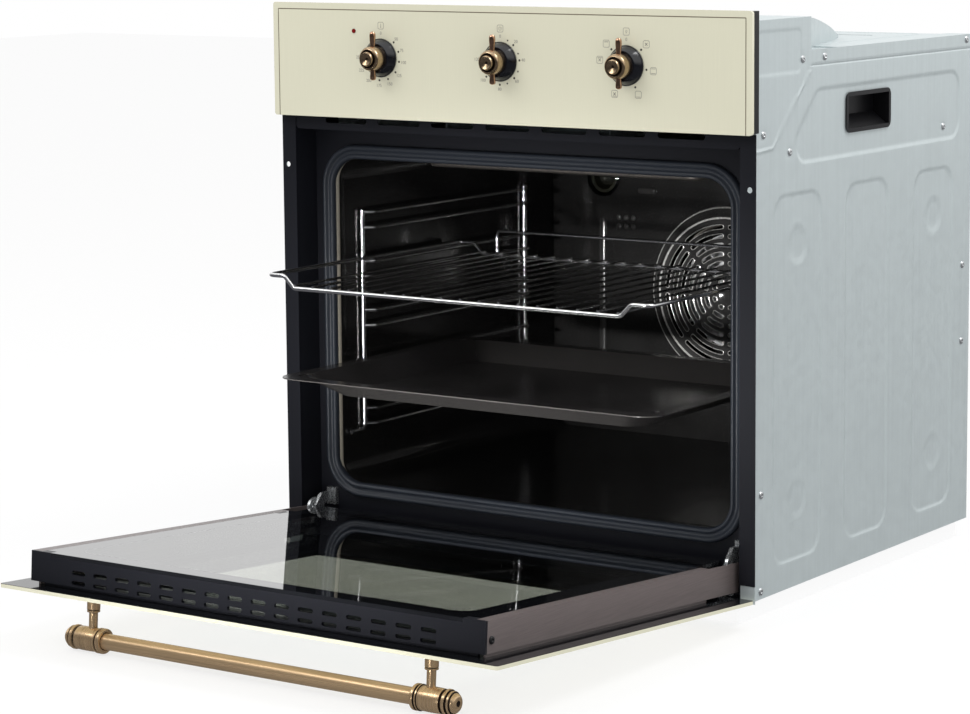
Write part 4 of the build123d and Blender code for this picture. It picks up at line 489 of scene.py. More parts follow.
def enamelled(name, colour, rough, speck=0.05, painted_front_reflection=None):
    """Vitreous enamel: deep gloss, uneven, with a few fine specks. Front faces may get a paler painted
    reflection.
    """
    finish, tree, shader = new_finish(name)
    vector = object_coordinates(tree)
    dots = ranged(tree, cells(tree, vector, 420.0).outputs["Distance"], 0.06, 0.16, 1.0, 0.0)
    cloud = noise(tree, vector, 14.0)
    tone = blended(tree, ranged(tree, cloud, 0.3, 0.7), colour, shaded(colour, 1.7))
    if painted_front_reflection is not None:
        # Painted reflection: faces turned to the front take the paler colour, as if they mirrored a bright
        # room
        facing = reach(tree, add(tree, "ShaderNodeNewGeometry").outputs["Normal"], (0.0, -1.0, 0.0))
        tone = blended(tree, ranged(tree, facing, 0.35, 0.9), tone, painted_front_reflection)
    put(tree, shader,
        ("Base Color", blended(tree, dots, tone, tuple(c + speck for c in colour))),
        ("Roughness", ranged(tree, cloud, 0.3, 0.7, rough, rough + 0.07)),
        ("Normal", relief(tree, noise(tree, vector, 160.0, 2.0), 0.05, 0.0004)))
    return finish


def window_mask(tree, low, high, half, corner):
    """1 inside a window with round corners on the door, by its heights when shut, and 0 outside."""
    place = add(tree, "ShaderNodeTexCoord").outputs["Object"]
    x = add(tree, "ShaderNodeSeparateXYZ", (0, place)).outputs["X"]
    middle = (PIVOT_HEIGHT - (low + high) / 2) * MM + DOOR_ORIGIN.dot(DOOR_DOWN)
    z = computed(tree, "SUBTRACT", reach(tree, place, DOOR_DOWN), middle)
    squares = []
    for value, limit in ((x, half - corner), (z, (high - low) / 2 - corner)):
        beyond = computed(tree, "SUBTRACT", computed(tree, "ABSOLUTE", value), limit * MM)
        beyond = computed(tree, "MAXIMUM", beyond, 0.0)
        squares.append(computed(tree, "MULTIPLY", beyond, beyond))
    distance = computed(tree, "SQRT", computed(tree, "ADD", *squares))
    return ranged(tree, distance, (corner - 0.25) * MM, (corner + 0.25) * MM, 1.0, 0.0)


def mirrored_share(tree, base, rise, power):
    """How much a pane's front mirrors: base when seen straight on, and base + rise when seen edge on."""
    facing = add(tree, "ShaderNodeLayerWeight", ("Blend", 0.5)).outputs["Facing"]
    share = ranged(tree, computed(tree, "POWER", facing, power), 0.0, 1.0, base, base + rise)
    behind = add(tree, "ShaderNodeNewGeometry").outputs["Backfacing"]
    return computed(tree, "MULTIPLY", share, ranged(tree, behind, 0.0, 1.0, 1.0, 0.0))


def glossed(tree, below, share):
    """A glossy shader over another one."""
    cloud = noise(tree, object_coordinates(tree), 30.0)
    gloss = add(tree, "ShaderNodeBsdfGlossy", ("Roughness", ranged(tree, cloud, 0.3, 0.7, 0.012, 0.024)))
    return mixed(tree, share, below, gloss.outputs[0])


def pane(name, tint, share, window=None, front=None):
    """A door pane: clear inside its window and black behind the frame.

    With a front colour, it is lacquered on its outer face.
    """
    finish, tree, shader = new_finish(name)
    through = add(tree, "ShaderNodeBsdfTransparent", ("Color", (*tint, 1.0)))
    clear = glossed(tree, through.outputs[0], mirrored_share(tree, *share))
    if window is None:
        show(tree, clear)
        tree.nodes.remove(shader)
        return finish
    black = (0.006, 0.0065, 0.008)
    cloud = noise(tree, object_coordinates(tree), 24.0)
    tone = blended(tree, ranged(tree, cloud, 0.3, 0.7), black, shaded(black, 1.5))
    if front is None:
        put(tree, shader, ("Specular IOR Level", 0.0), ("Roughness", 0.6))
        frame_side = glossed(tree, shader.outputs[0], mirrored_share(tree, *share))
    else:
        inset = reach(tree, add(tree, "ShaderNodeTexCoord").outputs["Object"], DOOR_INWARD)
        base = DOOR_ORIGIN.dot(DOOR_INWARD)
        lacquer = blended(tree, ranged(tree, cloud, 0.3, 0.7), front, shaded(front, 0.96))
        tone = blended(tree, ranged(tree, inset, base + 0.0035, base + 0.0037), lacquer, tone)
        put(tree, shader, ("Roughness", ranged(tree, cloud, 0.3, 0.7, 0.06, 0.10)))
        frame_side = shader.outputs[0]
    put(tree, shader, ("Base Color", tone))
    show(tree, mixed(tree, window_mask(tree, *window), frame_side, clear))
    return finish


FINISHES = {}


def finish_of(name):
    if name not in FINISHES:
        raise RuntimeError(f"the finish {name} has not been made: run the finishes first")
    return FINISHES[name]


class OVEN_OT_finishes(bpy.types.Operator):
    """Make every finish and give it to the frame's nodes"""

    bl_idname = "oven.finishes"
    bl_label = "Finishes"

    def execute(self, context):
        shade = colours()
        cream, brass, black = tuple(shade.cream), tuple(shade.brass), tuple(shade.black_paint)
        rubber, enamel, zinc = tuple(shade.rubber), tuple(shade.enamel), tuple(shade.galvanised)
        FINISHES.update({
            "cream_enamel": grained(
                "Cream lacquer", cream, shaded(cream, 0.97), 0.0, 0.22, 700.0,
                stretch=(1.0, 1.0, 0.02), bump=0.02, coat=0.6, rough_change=0.03),
            "galvanised": spangled("Galvanised sheet", zinc),
            "dark_enamel": enamelled("Cavity enamel", enamel, 0.13),
            # Painted highlight: the fan cover is the cavity's black enamel made lighter
            "fan_enamel_painted_highlight": enamelled("Fan cover enamel, painted highlight", shaded(enamel, 1.9), 0.14),
            # Painted highlight: the rolled slot edges of the black fan cover are a pale grey
            "fan_edge_painted_highlight": grained(
                "Rolled slot edges, painted highlight", (0.62, 0.61, 0.58), (0.30, 0.30, 0.29), 0.5, 0.25, 200.0,
                bump=0.05, coat=0.5),
            # Painted highlight: the rear wall's pressings are the cavity's enamel made lighter
            "pressed_enamel_painted_highlight": enamelled("Pressed enamel, painted highlight", shaded(enamel, 2.4), 0.14),
            # The tray's front-facing walls get a paler colour: a painted reflection
            "tray_enamel": enamelled(
                "Tray enamel, painted front reflection", (0.016, 0.015, 0.015), 0.20, 0.03, (0.085, 0.08, 0.076)),
            "lip_enamel": grained(
                "Enamelled lip", (0.24, 0.22, 0.18), (0.16, 0.145, 0.12), 0.0, 0.3, 300.0),
            "black_paint": grained(
                "Satin black paint", black, shaded(black, 1.5), 0.0, 0.36, 1500.0,
                bump=0.12, depth=0.0001, specular=0.35),
            "gasket_rubber": grained(
                "Gasket rubber", rubber, shaded(rubber, 1.35), 0.0, 0.48, 900.0),
            "mineral_wool": grained(
                "Mineral wool", (0.42, 0.40, 0.33), (0.30, 0.27, 0.20), 0.0, 0.9, 260.0,
                bump=0.8, depth=0.002),
            "black_plastic": grained(
                "Black plastic", (0.0045, 0.0045, 0.0055), (0.008, 0.008, 0.0095), 0.0, 0.34, 1400.0,
                bump=0.12, depth=0.0001, specular=0.4),
            "skirt_plastic": grained(
                "Glossy black plastic", (0.004, 0.0045, 0.007), (0.007, 0.008, 0.012), 0.0, 0.16, 500.0,
                bump=0.02, coat=0.5, rough_change=0.04),
            "switch_plastic": grained(
                "Switch plastic", (0.62, 0.58, 0.48), (0.55, 0.50, 0.41), 0.0, 0.5, 400.0),
            "red_lens": grained(
                "Pilot lamp red", (0.24, 0.006, 0.006), (0.14, 0.003, 0.003), 0.0, 0.12, 900.0,
                bump=0.02, coat=0.8),
            "chrome_wire": grained(
                "Chromed wire", (0.86, 0.86, 0.86), (0.72, 0.72, 0.73), 1.0, 0.20, 500.0,
                bump=0.04, rough_change=0.06),
            "element_steel": grained(
                "Heating rod steel", (0.10, 0.095, 0.09), (0.17, 0.15, 0.13), 0.8, 0.45, 300.0, bump=0.15),
            "motor_steel": grained(
                "Motor steel", (0.45, 0.46, 0.47), (0.36, 0.37, 0.38), 0.9, 0.4, 300.0),
            "bright_steel": grained(
                "Zinc plated steel", (0.74, 0.76, 0.77), (0.58, 0.60, 0.61), 0.85, 0.27, 600.0,
                rough_change=0.1),
            "profile_aluminium": grained(
                "Anodised profile", (0.215, 0.18, 0.175), (0.165, 0.138, 0.135), 0.25, 0.36, 1800.0,
                stretch=(1.0, 0.02, 1.0), bump=0.08, depth=0.0001),
            "aluminium": grained(
                "Aluminium", (0.62, 0.62, 0.63), (0.52, 0.52, 0.53), 1.0, 0.34, 500.0),
            "brass_drawn": grained(
                "Antique brass, drawn", brass, shaded(brass, 0.50), 0.7, 0.30, 420.0,
                stretch=(0.012, 1.0, 1.0), bump=0.16, depth=0.0001, rough_change=0.07),
            "brass_turned_x": grained(
                "Antique brass, turned ends", brass, shaded(brass, 0.55), 0.75, 0.26, 420.0,
                stretch=(1.0, 0.02, 0.02), bump=0.12, depth=0.0001, rough_change=0.07),
            "brass_turned_y": grained(
                "Antique brass, turned knobs", (0.60, 0.44, 0.28), (0.24, 0.17, 0.105), 1.0, 0.26, 420.0,
                stretch=(0.03, 1.0, 0.03), bump=0.12, depth=0.0001, rough_change=0.07),
            "brass_pin": grained(
                "Antique brass, pins", (0.62, 0.38, 0.25), (0.40, 0.24, 0.16), 1.0, 0.20, 300.0,
                bump=0.05, rough_change=0.06),
            "patina": grained(
                "Dark patina", (0.018, 0.012, 0.010), (0.05, 0.033, 0.022), 0.8, 0.38, 300.0,
                bump=0.2, rough_change=0.1),
            "clear_glass": pane("Clear pane", (0.93, 0.95, 0.93), (0.05, 0.22, 4.0)),
            "inner_glass": pane(
                "Inner pane with black frame", (0.95, 0.96, 0.94), (0.06, 0.94, 2.3),
                window=(31.0, 431.0, 234.0, 18.0)),
            "outer_glass": pane(
                "Lacquered outer pane", (0.90, 0.90, 0.86), (0.05, 0.22, 4.0),
                window=(93.0, 365.0, 197.0, 6.0), front=cream),
            "lens_glass": pane("Lamp lens", (0.42, 0.43, 0.42), (0.10, 0.6, 3.0)),
            "fine_line": grained(
                "Fine brown line", (0.17, 0.14, 0.095), (0.24, 0.20, 0.14), 0.2, 0.4, 900.0),
            "print_grey": grained(
                "Grey print", (0.22, 0.205, 0.175), (0.28, 0.265, 0.23), 0.0, 0.5, 900.0),
            "print_dark": grained(
                "Dark print", (0.010, 0.007, 0.005), (0.02, 0.015, 0.012), 0.0, 0.45, 900.0),
        })
        # Most nodes have the finish of their slot's name
        chosen = {
            "door_outer_glass": "outer_glass", "door_inner_glass": "inner_glass",
            "handle_bar": "brass_drawn", "handle_ends": "brass_turned_x",
        }
        for knob in KNOBS:
            chosen[f"{knob}_grip"] = "brass_turned_y"
            chosen[f"{knob}_skirt"] = "skirt_plastic"
        slots = {row["node"]: row["material_slot"] for row in frame["record"]["subparts"]}
        for node, piece in frame["nodes"].items():
            finish = finish_of(chosen.get(node, slots[node]))
            if not piece.material_slots:
                raise RuntimeError(f"{node} has no material slot")
            for place in piece.material_slots:
                place.link = "OBJECT"
                place.material = finish
        return {"FINISHED"}


# Side panels


def smooth_step(value):
    value = np.clip(value, 0.0, 1.0)
    return value * value * (3.0 - 2.0 * value)


def box_distance(depth, height, d0, d1, z0, z1, corner):
    """Signed distance to a rectangle with round corners, negative inside."""
    across = np.abs(depth - (d0 + d1) / 2) - ((d1 - d0) / 2 - corner)
    upward = np.abs(height - (z0 + z1) / 2) - ((z1 - z0) / 2 - corner)
    outside = np.hypot(np.maximum(across, 0.0), np.maximum(upward, 0.0))
    return outside + np.minimum(np.maximum(across, upward), 0.0) - corner


def segment_distance(depth, height, start, end):
    """Distance to the straight line between two points."""
    start, end = np.array(start), np.array(end)
    edge = end - start
    share = ((depth - start[0]) * edge[0] + (height - start[1]) * edge[1]) / (edge @ edge)
    share = np.clip(share, 0.0, 1.0)
    return np.hypot(depth - start[0] - share * edge[0], height - start[1] - share * edge[1])


def convex_distance(depth, height, points, corner):
    """Signed distance to a convex outline given clockwise, with round corners, negative inside."""
    lines = []
    for start, end in zip(points, points[1:] + points[:1]):
        start, end = np.array(start), np.array(end)
        along = (end - start) / np.linalg.norm(end - start)
        inward = np.array([along[1], -along[0]])
        lines.append((start + inward * corner, along))
    shrunk = []
    for (p, r), (q, s) in zip(lines[-1:] + lines[:-1], lines):
        t = ((q - p)[0] * s[1] - (q - p)[1] * s[0]) / (r[0] * s[1] - r[1] * s[0])
        shrunk.append(p + r * t)
    best = np.full(depth.shape, np.inf)
    inside = np.full(depth.shape, True)
    for start, end in zip(shrunk, shrunk[1:] + shrunk[:1]):
        edge = end - start
        best = np.minimum(best, segment_distance(depth, height, start, end))
        inside &= (depth - start[0]) * edge[1] - (height - start[1]) * edge[0] >= 0
    return np.where(inside, -best, best) - corner


def line_distance(depth, height, points):
    """Distance to an open line through points."""
    pairs = zip(points, points[1:])
    return np.minimum.reduce([segment_distance(depth, height, start, end) for start, end in pairs])


# The side panels' pressings, as (depth, height) or as (front, rear, foot, head)
COLUMN_FIGURES = [(64.5, 163.3), (218.0, 313.0), (375.0, 468.4)]
COLUMN_FOOT = 29.0
COLUMN_HEAD = 407.5
UPPER_FIGURE = [(154.0, 511.0), (483.0, 512.7), (483.0, 439.0), (82.0, 438.0)]
DIMPLES = [(115.6, 355.0), (423.5, 357.0), (115.7, 90.6), (425.9, 90.7)]
STIFFENING_BEAD = [(138.2, 530.6), (61.2, 457.5), (37.0, 455.8), (14.0, 455.0)]
UPPER_FOLD = [(141.0, 535.8), (514.0, 535.8)]
HOUSING_FIGURE = (-20.0, 119.0, 531.0, 574.5)
GRIP_HOLE = (218.5, 312.5, 464.5, 501.0)
SCREWS = [
    (122.7, 543.4), (169.0, 543.8), (500.0, 546.0), (96.0, 450.8), (445.4, 452.7),
    (42.0, 471.7), (495.6, 293.4), (495.0, 206.8), (39.5, 107.5), (39.5, 7.8),
]


def panel_relief(depth, height):
    """How far the panel's face lies inside its flat plane, in millimetres."""
    press = sizes().pressing_depth / MM
    edge = sizes().pressing_edge / MM
    level = np.zeros(depth.shape)
    for front, rear in COLUMN_FIGURES:
        away = box_distance(depth, height, front, rear, COLUMN_FOOT, COLUMN_HEAD, 22.0)
        level += press * smooth_step(0.5 - away / edge)
    level += press * smooth_step(0.5 - convex_distance(depth, height, UPPER_FIGURE, 20.0) / edge)
    # Each dimple has a raised rim
    for d, z in DIMPLES:
        away = np.hypot(depth - d, height - z)
        level += 0.8 * press * smooth_step(0.5 - (away - 17.5) / 5.0)
        level -= 0.35 * smooth_step(1.0 - np.abs(away - 21.0) / 2.5)
    level -= 0.8 * smooth_step(1.0 - line_distance(depth, height, STIFFENING_BEAD) / 2.6)
    level += 0.6 * smooth_step(1.0 - line_distance(depth, height, UPPER_FOLD) / 1.3)
    # The housing's side has a shallow figure of its own
    level += 0.4 * smooth_step(0.5 - box_distance(depth, height, *HOUSING_FIGURE, 6.0) / 4.0)
    # Each screw sits in a slight dent
    for d, z in SCREWS:
        level += 0.45 * smooth_step(1.0 - np.hypot(depth - d, height - z) / 9.0)
    return level


def refined(stop, places):
    """Grid lines from 0 to stop, closer together round the given places."""
    base, fine, near, closest = 4.0, 1.5, 6.0, 0.45
    lines = set(np.round(np.arange(0.0, stop + 0.01, base), 3))
    for place in places:
        lines.update(np.round(np.arange(place - near, place + near + 0.01, fine), 3))
    lines = np.array(sorted(x for x in lines if 0.0 <= x <= stop))
    keep = [lines[0]]
    for value in lines[1:]:
        if value - keep[-1] > closest:
            keep.append(value)
    keep[-1] = stop
    return keep


def plate(corners, thickness):
    """A flat plate from its outline and the vector of its thickness."""
    count = len(corners)
    verts = [Vector(c) for c in corners] + [Vector(c) + Vector(thickness) for c in corners]
    faces = [tuple(range(count)), tuple(range(2 * count - 1, count - 1, -1))]
    for index in range(count):
        after = (index + 1) % count
        faces.append((index, after, count + after, count + index))
    return verts, faces, [0] * len(faces)


def flange_with_hole(side):
    """The flange behind the mounting column, with its screw hole."""
    x0, x1, z0, z1 = CASING_HALF, 295.5, 4.4, HOUSING_TOP
    (hole_x, hole_z), radius, count = (289.0, 421.0), 3.0, 24
    turns = [2 * math.pi * step / count for step in range(count)]
    work = bmesh.new()
    edges = []
    for outline in (
        ((x0, z0), (x1, z0), (x1, z1), (x0, z1)),
        [(hole_x + radius * math.cos(turn), hole_z + radius * math.sin(turn)) for turn in turns],
    ):
        loop = [work.verts.new(front_place(side * x, z, 0.0)) for x, z in outline]
        edges.extend(work.edges.new(pair) for pair in zip(loop, loop[1:] + loop[:1]))
    bmesh.ops.triangle_fill(work, use_beauty=True, edges=edges)
    thicken_faces(work, MM)
    work.verts.index_update()
    verts = [v.co.copy() for v in work.verts]
    faces = [tuple(v.index for v in f.verts) for f in work.faces]
    work.free()
    return verts, faces, [0] * len(faces)


def thicken_faces(work, thickness):
    """Extrudes all the faces of an open mesh towards the rear."""
    grown_part = bmesh.ops.extrude_face_region(work, geom=work.faces[:])
    moved = [part for part in grown_part["geom"] if isinstance(part, bmesh.types.BMVert)]
    bmesh.ops.translate(work, verts=moved, vec=(0.0, thickness, 0.0))


class OVEN_OT_side_panels(bpy.types.Operator):
    """Make the pressed side panels of the casing, and the figure in its roof"""

    bl_idname = "oven.side_panels"
    bl_label = "Side panels"

    def execute(self, context):
        for side, name in ((-1, "left"), (1, "right")):
            solid = thickened(self.sheet(side), MM)
            # The lip over the top cover, and the flange behind the column
            inner, outer, front, rear = side * 0.250, side * 0.279, FRONT + 0.200, FRONT + 0.514
            lip = plate([(inner, front, 0.551), (outer, front, 0.551),
                         (outer, rear, 0.551), (inner, rear, 0.551)], (0, 0, MM))
            verts, faces, _ = joined([lip, flange_with_hole(side)])
            added = bare_mesh("lip and flange", verts, faces)
            with edited(added) as loose:
                bmesh.ops.recalc_face_normals(loose, faces=loose.faces)
            with edited(solid) as work:
                work.from_mesh(added)
            finish_piece(f"side_panel_{name}_pressed", solid, [finish_of("galvanised")], "casing",
                         "galvanised", [f"side_panel_{name}"], smooth=40, tidy=False)
        # A shallow figure is pressed into the roof
        outline = rounded_path(226.0, 178.0, 502.0, 20.0)
        ridge = [(0.0, 550.6, 0), (0.3, 551.3, 0), (1.0, 551.6, 0), (1.7, 551.3, 0), (2.0, 550.6, 0)]
        verts, faces, _ = ring_along(outline, ridge, roof_place)
        mesh_piece("roof_figure", verts, faces, [finish_of("galvanised")], "casing", "galvanised",
                   smooth=50)
        return {"FINISHED"}

    def sheet(self, side):
        """One side's pressed face, without thickness. It has a hole for the grip and a lower rear part."""
        d_places = [d for pair in COLUMN_FIGURES for d in pair] + [483.0, HOUSING_FIGURE[1]]
        z_places = [COLUMN_FOOT, COLUMN_HEAD, 438.5, 512.0, 455.0, *HOUSING_FIGURE[2:]]
        d_lines = sorted({*refined(CASING_DEPTH, d_places), *GRIP_HOLE[:2],
                          HOUSING_DEPTH, HOUSING_DEPTH + 0.4})
        z_lines = sorted({*refined(HOUSING_TOP, z_places), *GRIP_HOLE[2:], CASING_TOP,
                          534.6, 535.2, 535.8, 536.4, 537.0})
        depth, height = np.meshgrid(np.array(d_lines), np.array(z_lines), indexing="ij")
        level = panel_relief(depth, height)
        rows, columns = depth.shape
        verts = [front_place(side * (CASING_HALF - level[i, j]), height[i, j], depth[i, j])
                 for i in range(rows) for j in range(columns)]
        faces = []
        for i in range(rows - 1):
            for j in range(columns - 1):
                d = (d_lines[i] + d_lines[i + 1]) / 2
                z = (z_lines[j] + z_lines[j + 1]) / 2
                in_hole = GRIP_HOLE[0] < d < GRIP_HOLE[1] and GRIP_HOLE[2] < z < GRIP_HOLE[3]
                if in_hole or (z > CASING_TOP and d > HOUSING_DEPTH):
                    continue
                quad = (i * columns + j, (i + 1) * columns + j,
                        (i + 1) * columns + j + 1, i * columns + j + 1)
                faces.append(quad if side > 0 else quad[::-1])
        mesh = bare_mesh("side sheet", verts, faces)
        with edited(mesh) as work:
            unused = [v for v in work.verts if not v.link_faces]
            bmesh.ops.delete(work, geom=unused, context="VERTS")
        return mesh

# Geometry Nodes


def new_tree(name, inputs):
    """A Geometry Nodes tree with named inputs: (name, socket type, default)."""
    tree = bpy.data.node_groups.new(name, "GeometryNodeTree")
    tree.interface.new_socket("Geometry", in_out="INPUT", socket_type="NodeSocketGeometry")
    for label, kind, default in inputs:
        socket = tree.interface.new_socket(label, in_out="INPUT", socket_type=kind)
        if default is not None:
            socket.default_value = default
    tree.interface.new_socket("Geometry", in_out="OUTPUT", socket_type="NodeSocketGeometry")
    return tree, tree.nodes.new("NodeGroupInput"), tree.nodes.new("NodeGroupOutput")


def grown(name, mesh, tree, values):
    """The plain mesh that a tree makes from a mesh."""
    holder = linked(name, mesh)
    modifier = holder.modifiers.new(tree.name, "NODES")
    modifier.node_group = tree
    for item in tree.interface.items_tree:
        if item.item_type == "SOCKET" and item.in_out == "INPUT" and item.name in values:
            modifier[item.identifier] = values[item.name]
    bpy.context.view_layer.update()
    result = settled(holder)
    if not result.polygons:
        raise RuntimeError(f"{name} came out empty")
    return result


def bent_wire_tree():
    """Turns the edges of a mesh into round wire with rounded bends."""
    tree, given, made = new_tree("Bent wire", [
        ("Wire radius", "NodeSocketFloat", 0.002), ("Bend radius", "NodeSocketFloat", 0.006),
        ("Sides", "NodeSocketInt", 14), ("Finish", "NodeSocketMaterial", None),
    ])
    given = given.outputs
    line = add(tree, "GeometryNodeMeshToCurve", ("Mesh", given["Geometry"]))
    bend = add(tree, "GeometryNodeFilletCurve", ("Curve", line.outputs["Curve"]),
               ("Radius", given["Bend radius"]), ("Count", 6), ("Limit Radius", True), mode="POLY")
    section = add(tree, "GeometryNodeCurvePrimitiveCircle", ("Resolution", given["Sides"]),
                  ("Radius", given["Wire radius"]))
    tube = add(tree, "GeometryNodeCurveToMesh", ("Curve", bend.outputs["Curve"]),
               ("Profile Curve", section.outputs["Curve"]), ("Fill Caps", True))
    painted(tree, tube.outputs["Mesh"], given["Finish"], made)
    return tree


def painted(tree, geometry, finish, made):
    """Ends a tree: its geometry is made real and given a finish."""
    real = add(tree, "GeometryNodeRealizeInstances", ("Geometry", geometry))
    paint = add(tree, "GeometryNodeSetMaterial", ("Geometry", real.outputs["Geometry"]), ("Material", finish))
    put(tree, made, ("Geometry", paint.outputs["Geometry"]))


def placed_tree():
    """Puts a copy of a piece on each point, turned so that its axis follows the attribute 'facing'."""
    tree, given, made = new_tree("Placed pieces", [
        ("Piece", "NodeSocketObject", None), ("Scale", "NodeSocketFloat", 1.0),
        ("Spin seed", "NodeSocketInt", 7), ("Finish", "NodeSocketMaterial", None),
    ])
    given = given.outputs
    facing = add(tree, "GeometryNodeInputNamedAttribute", ("Name", "facing"), data_type="FLOAT_VECTOR")
    align = add(tree, "FunctionNodeAlignEulerToVector", ("Vector", facing.outputs["Attribute"]), axis="Z")
    # Input 3 and output 1 are the largest value and the result for plain numbers
    spin = add(tree, "FunctionNodeRandomValue", (3, 3.14159), ("Seed", given["Spin seed"]), data_type="FLOAT")
    turn = add(tree, "FunctionNodeRotateEuler", ("Rotation", align.outputs["Rotation"]),
               ("Axis", (0.0, 0.0, 1.0)), ("Angle", spin.outputs[1]), rotation_type="AXIS_ANGLE",
               space="LOCAL")
    piece = add(tree, "GeometryNodeObjectInfo", ("Object", given["Piece"]))
    points = add(tree, "GeometryNodeMeshToPoints", ("Mesh", given["Geometry"]))
    copies = add(tree, "GeometryNodeInstanceOnPoints", ("Points", points.outputs["Points"]),
                 ("Instance", piece.outputs["Geometry"]), ("Rotation", turn.outputs["Rotation"]),
                 ("Scale", given["Scale"]))
    painted(tree, copies.outputs["Instances"], given["Finish"], made)
    return tree


def wire_lines(lines, closed=False):
    """A mesh of bare edges from lists of points."""
    verts, edges = [], []
    for line in lines:
        base = len(verts)
        verts.extend(tuple(p) for p in line)
        edges.extend((base + i, base + i + 1) for i in range(len(line) - 1))
        if closed:
            edges.append((base + len(line) - 1, base))
    mesh = bpy.data.meshes.new("lines")
    mesh.from_pydata(verts, edges, [])
    return mesh


def merged(meshes):
    """One mesh from several."""
    work = bmesh.new()
    for mesh in meshes:
        work.from_mesh(mesh)
    result = bpy.data.meshes.new("merged")
    work.to_mesh(result)
    work.free()
    return result


def wires(tree, name, lines, radius, bend, sides=12, closed=False):
    """Chromed wire along lines of points, with rounded bends."""
    return grown(name, wire_lines(lines, closed), tree, {
        "Wire radius": radius, "Bend radius": bend, "Sides": sides, "Finish": finish_of("chrome_wire")})


# The racks: heights, half widths and the depths of the posts, in millimetres
RUNGS = [364.0, 309.2, 254.4, 199.6, 144.8]
LOOP_DROP = 17.4
RUNG_X = 234.0
POST_X = 244.5
POST_DEPTHS = (72.0, 392.0)


class OVEN_OT_racks(bpy.types.Operator):
    """Make the two side racks from bent wire"""

    bl_idname = "oven.racks"
    bl_label = "Side racks"

    def execute(self, context):
        tree = bent_wire_tree()
        chrome = finish_of("chrome_wire")
        front, back = POST_DEPTHS
        for side, name in ((-1, "left"), (1, "right")):
            post_x, rung_x = side * POST_X, side * RUNG_X
            rungs = [
                [front_place(x, height, depth) for x, depth in (
                    (post_x, front), (rung_x, front + 10.0), (rung_x, back - 10.0), (post_x, back))]
                for rung in RUNGS for height in (rung, rung - LOOP_DROP)
            ]
            # The front post ends in a foot that points forwards
            posts = [
                [front_place(post_x, 121.0, 47.0), front_place(post_x, 121.0, front),
                 front_place(post_x, 366.0, front)],
                [front_place(post_x, 119.0, back), front_place(post_x, 366.0, back)],
            ]
            pegs = [
                [front_place(post_x, height, depth), front_place(side * 248.0, height, depth)]
                for depth in POST_DEPTHS for height in (127.0, 358.0)
            ]
            whole = merged([
                wires(tree, "rungs", rungs, 0.00225, 0.008),
                wires(tree, "posts", posts, 0.0027, 0.006),
                wires(tree, "pegs", pegs, 0.00225, 0.0),
            ])
            finish_piece(f"rack_{name}_wire", whole, [chrome], "casing", "chrome_wire",
                         [f"rack_{name}"], tidy=False)
        return {"FINISHED"}


class OVEN_OT_shelf(bpy.types.Operator):
    """Make the wire shelf and its rear guard"""

    bl_idname = "oven.shelf"
    bl_label = "Wire shelf"

    def execute(self, context):
        tree = bent_wire_tree()
        chrome = finish_of("chrome_wire")
        front, back, half, dip, top = -103.0, 245.0, 236.5, 301.55, 314.05
        inner, outer = 202.8, 215.3
        loop = []
        for side, d0, d1 in ((1, front, back), (-1, back, front)):
            loop.extend([
                front_place(side * inner, dip, d0), front_place(side * outer, top, d0),
                front_place(side * half, top, d0), front_place(side * half, top, d1),
                front_place(side * outer, top, d1), front_place(side * inner, dip, d1),
            ])
        count, pitch, rod_height, overlap = 18, 23.6, 304.65, 1.6
        rods = []
        for index in range(count):
            x = (index - (count - 1) / 2) * pitch
            rods.append([front_place(x, rod_height, depth) for depth in (front - overlap, back + overlap)])
        guard_half, guard_foot, guard_top = 182.8, 303.0, 329.85
        guard = [front_place(x, z, back) for x, z in (
            (-guard_half, guard_foot), (-guard_half, guard_top),
            (guard_half, guard_top), (guard_half, guard_foot))]
        bend = sizes().bend_radius
        shelf = merged([
            wires(tree, "frame", [loop], 0.0023, bend, sides=14, closed=True),
            wires(tree, "rods", rods, 0.0014, 0.0),
        ])
        finish_piece("shelf_wires", shelf, [chrome], "shelf", "chrome_wire", ["shelf_grid"], tidy=False)
        rail = wires(tree, "guard", [guard], 0.002, bend)
        finish_piece("shelf_guard_wire", rail, [chrome], "shelf", "chrome_wire", ["shelf_guard"],
                     tidy=False)
        return {"FINISHED"}


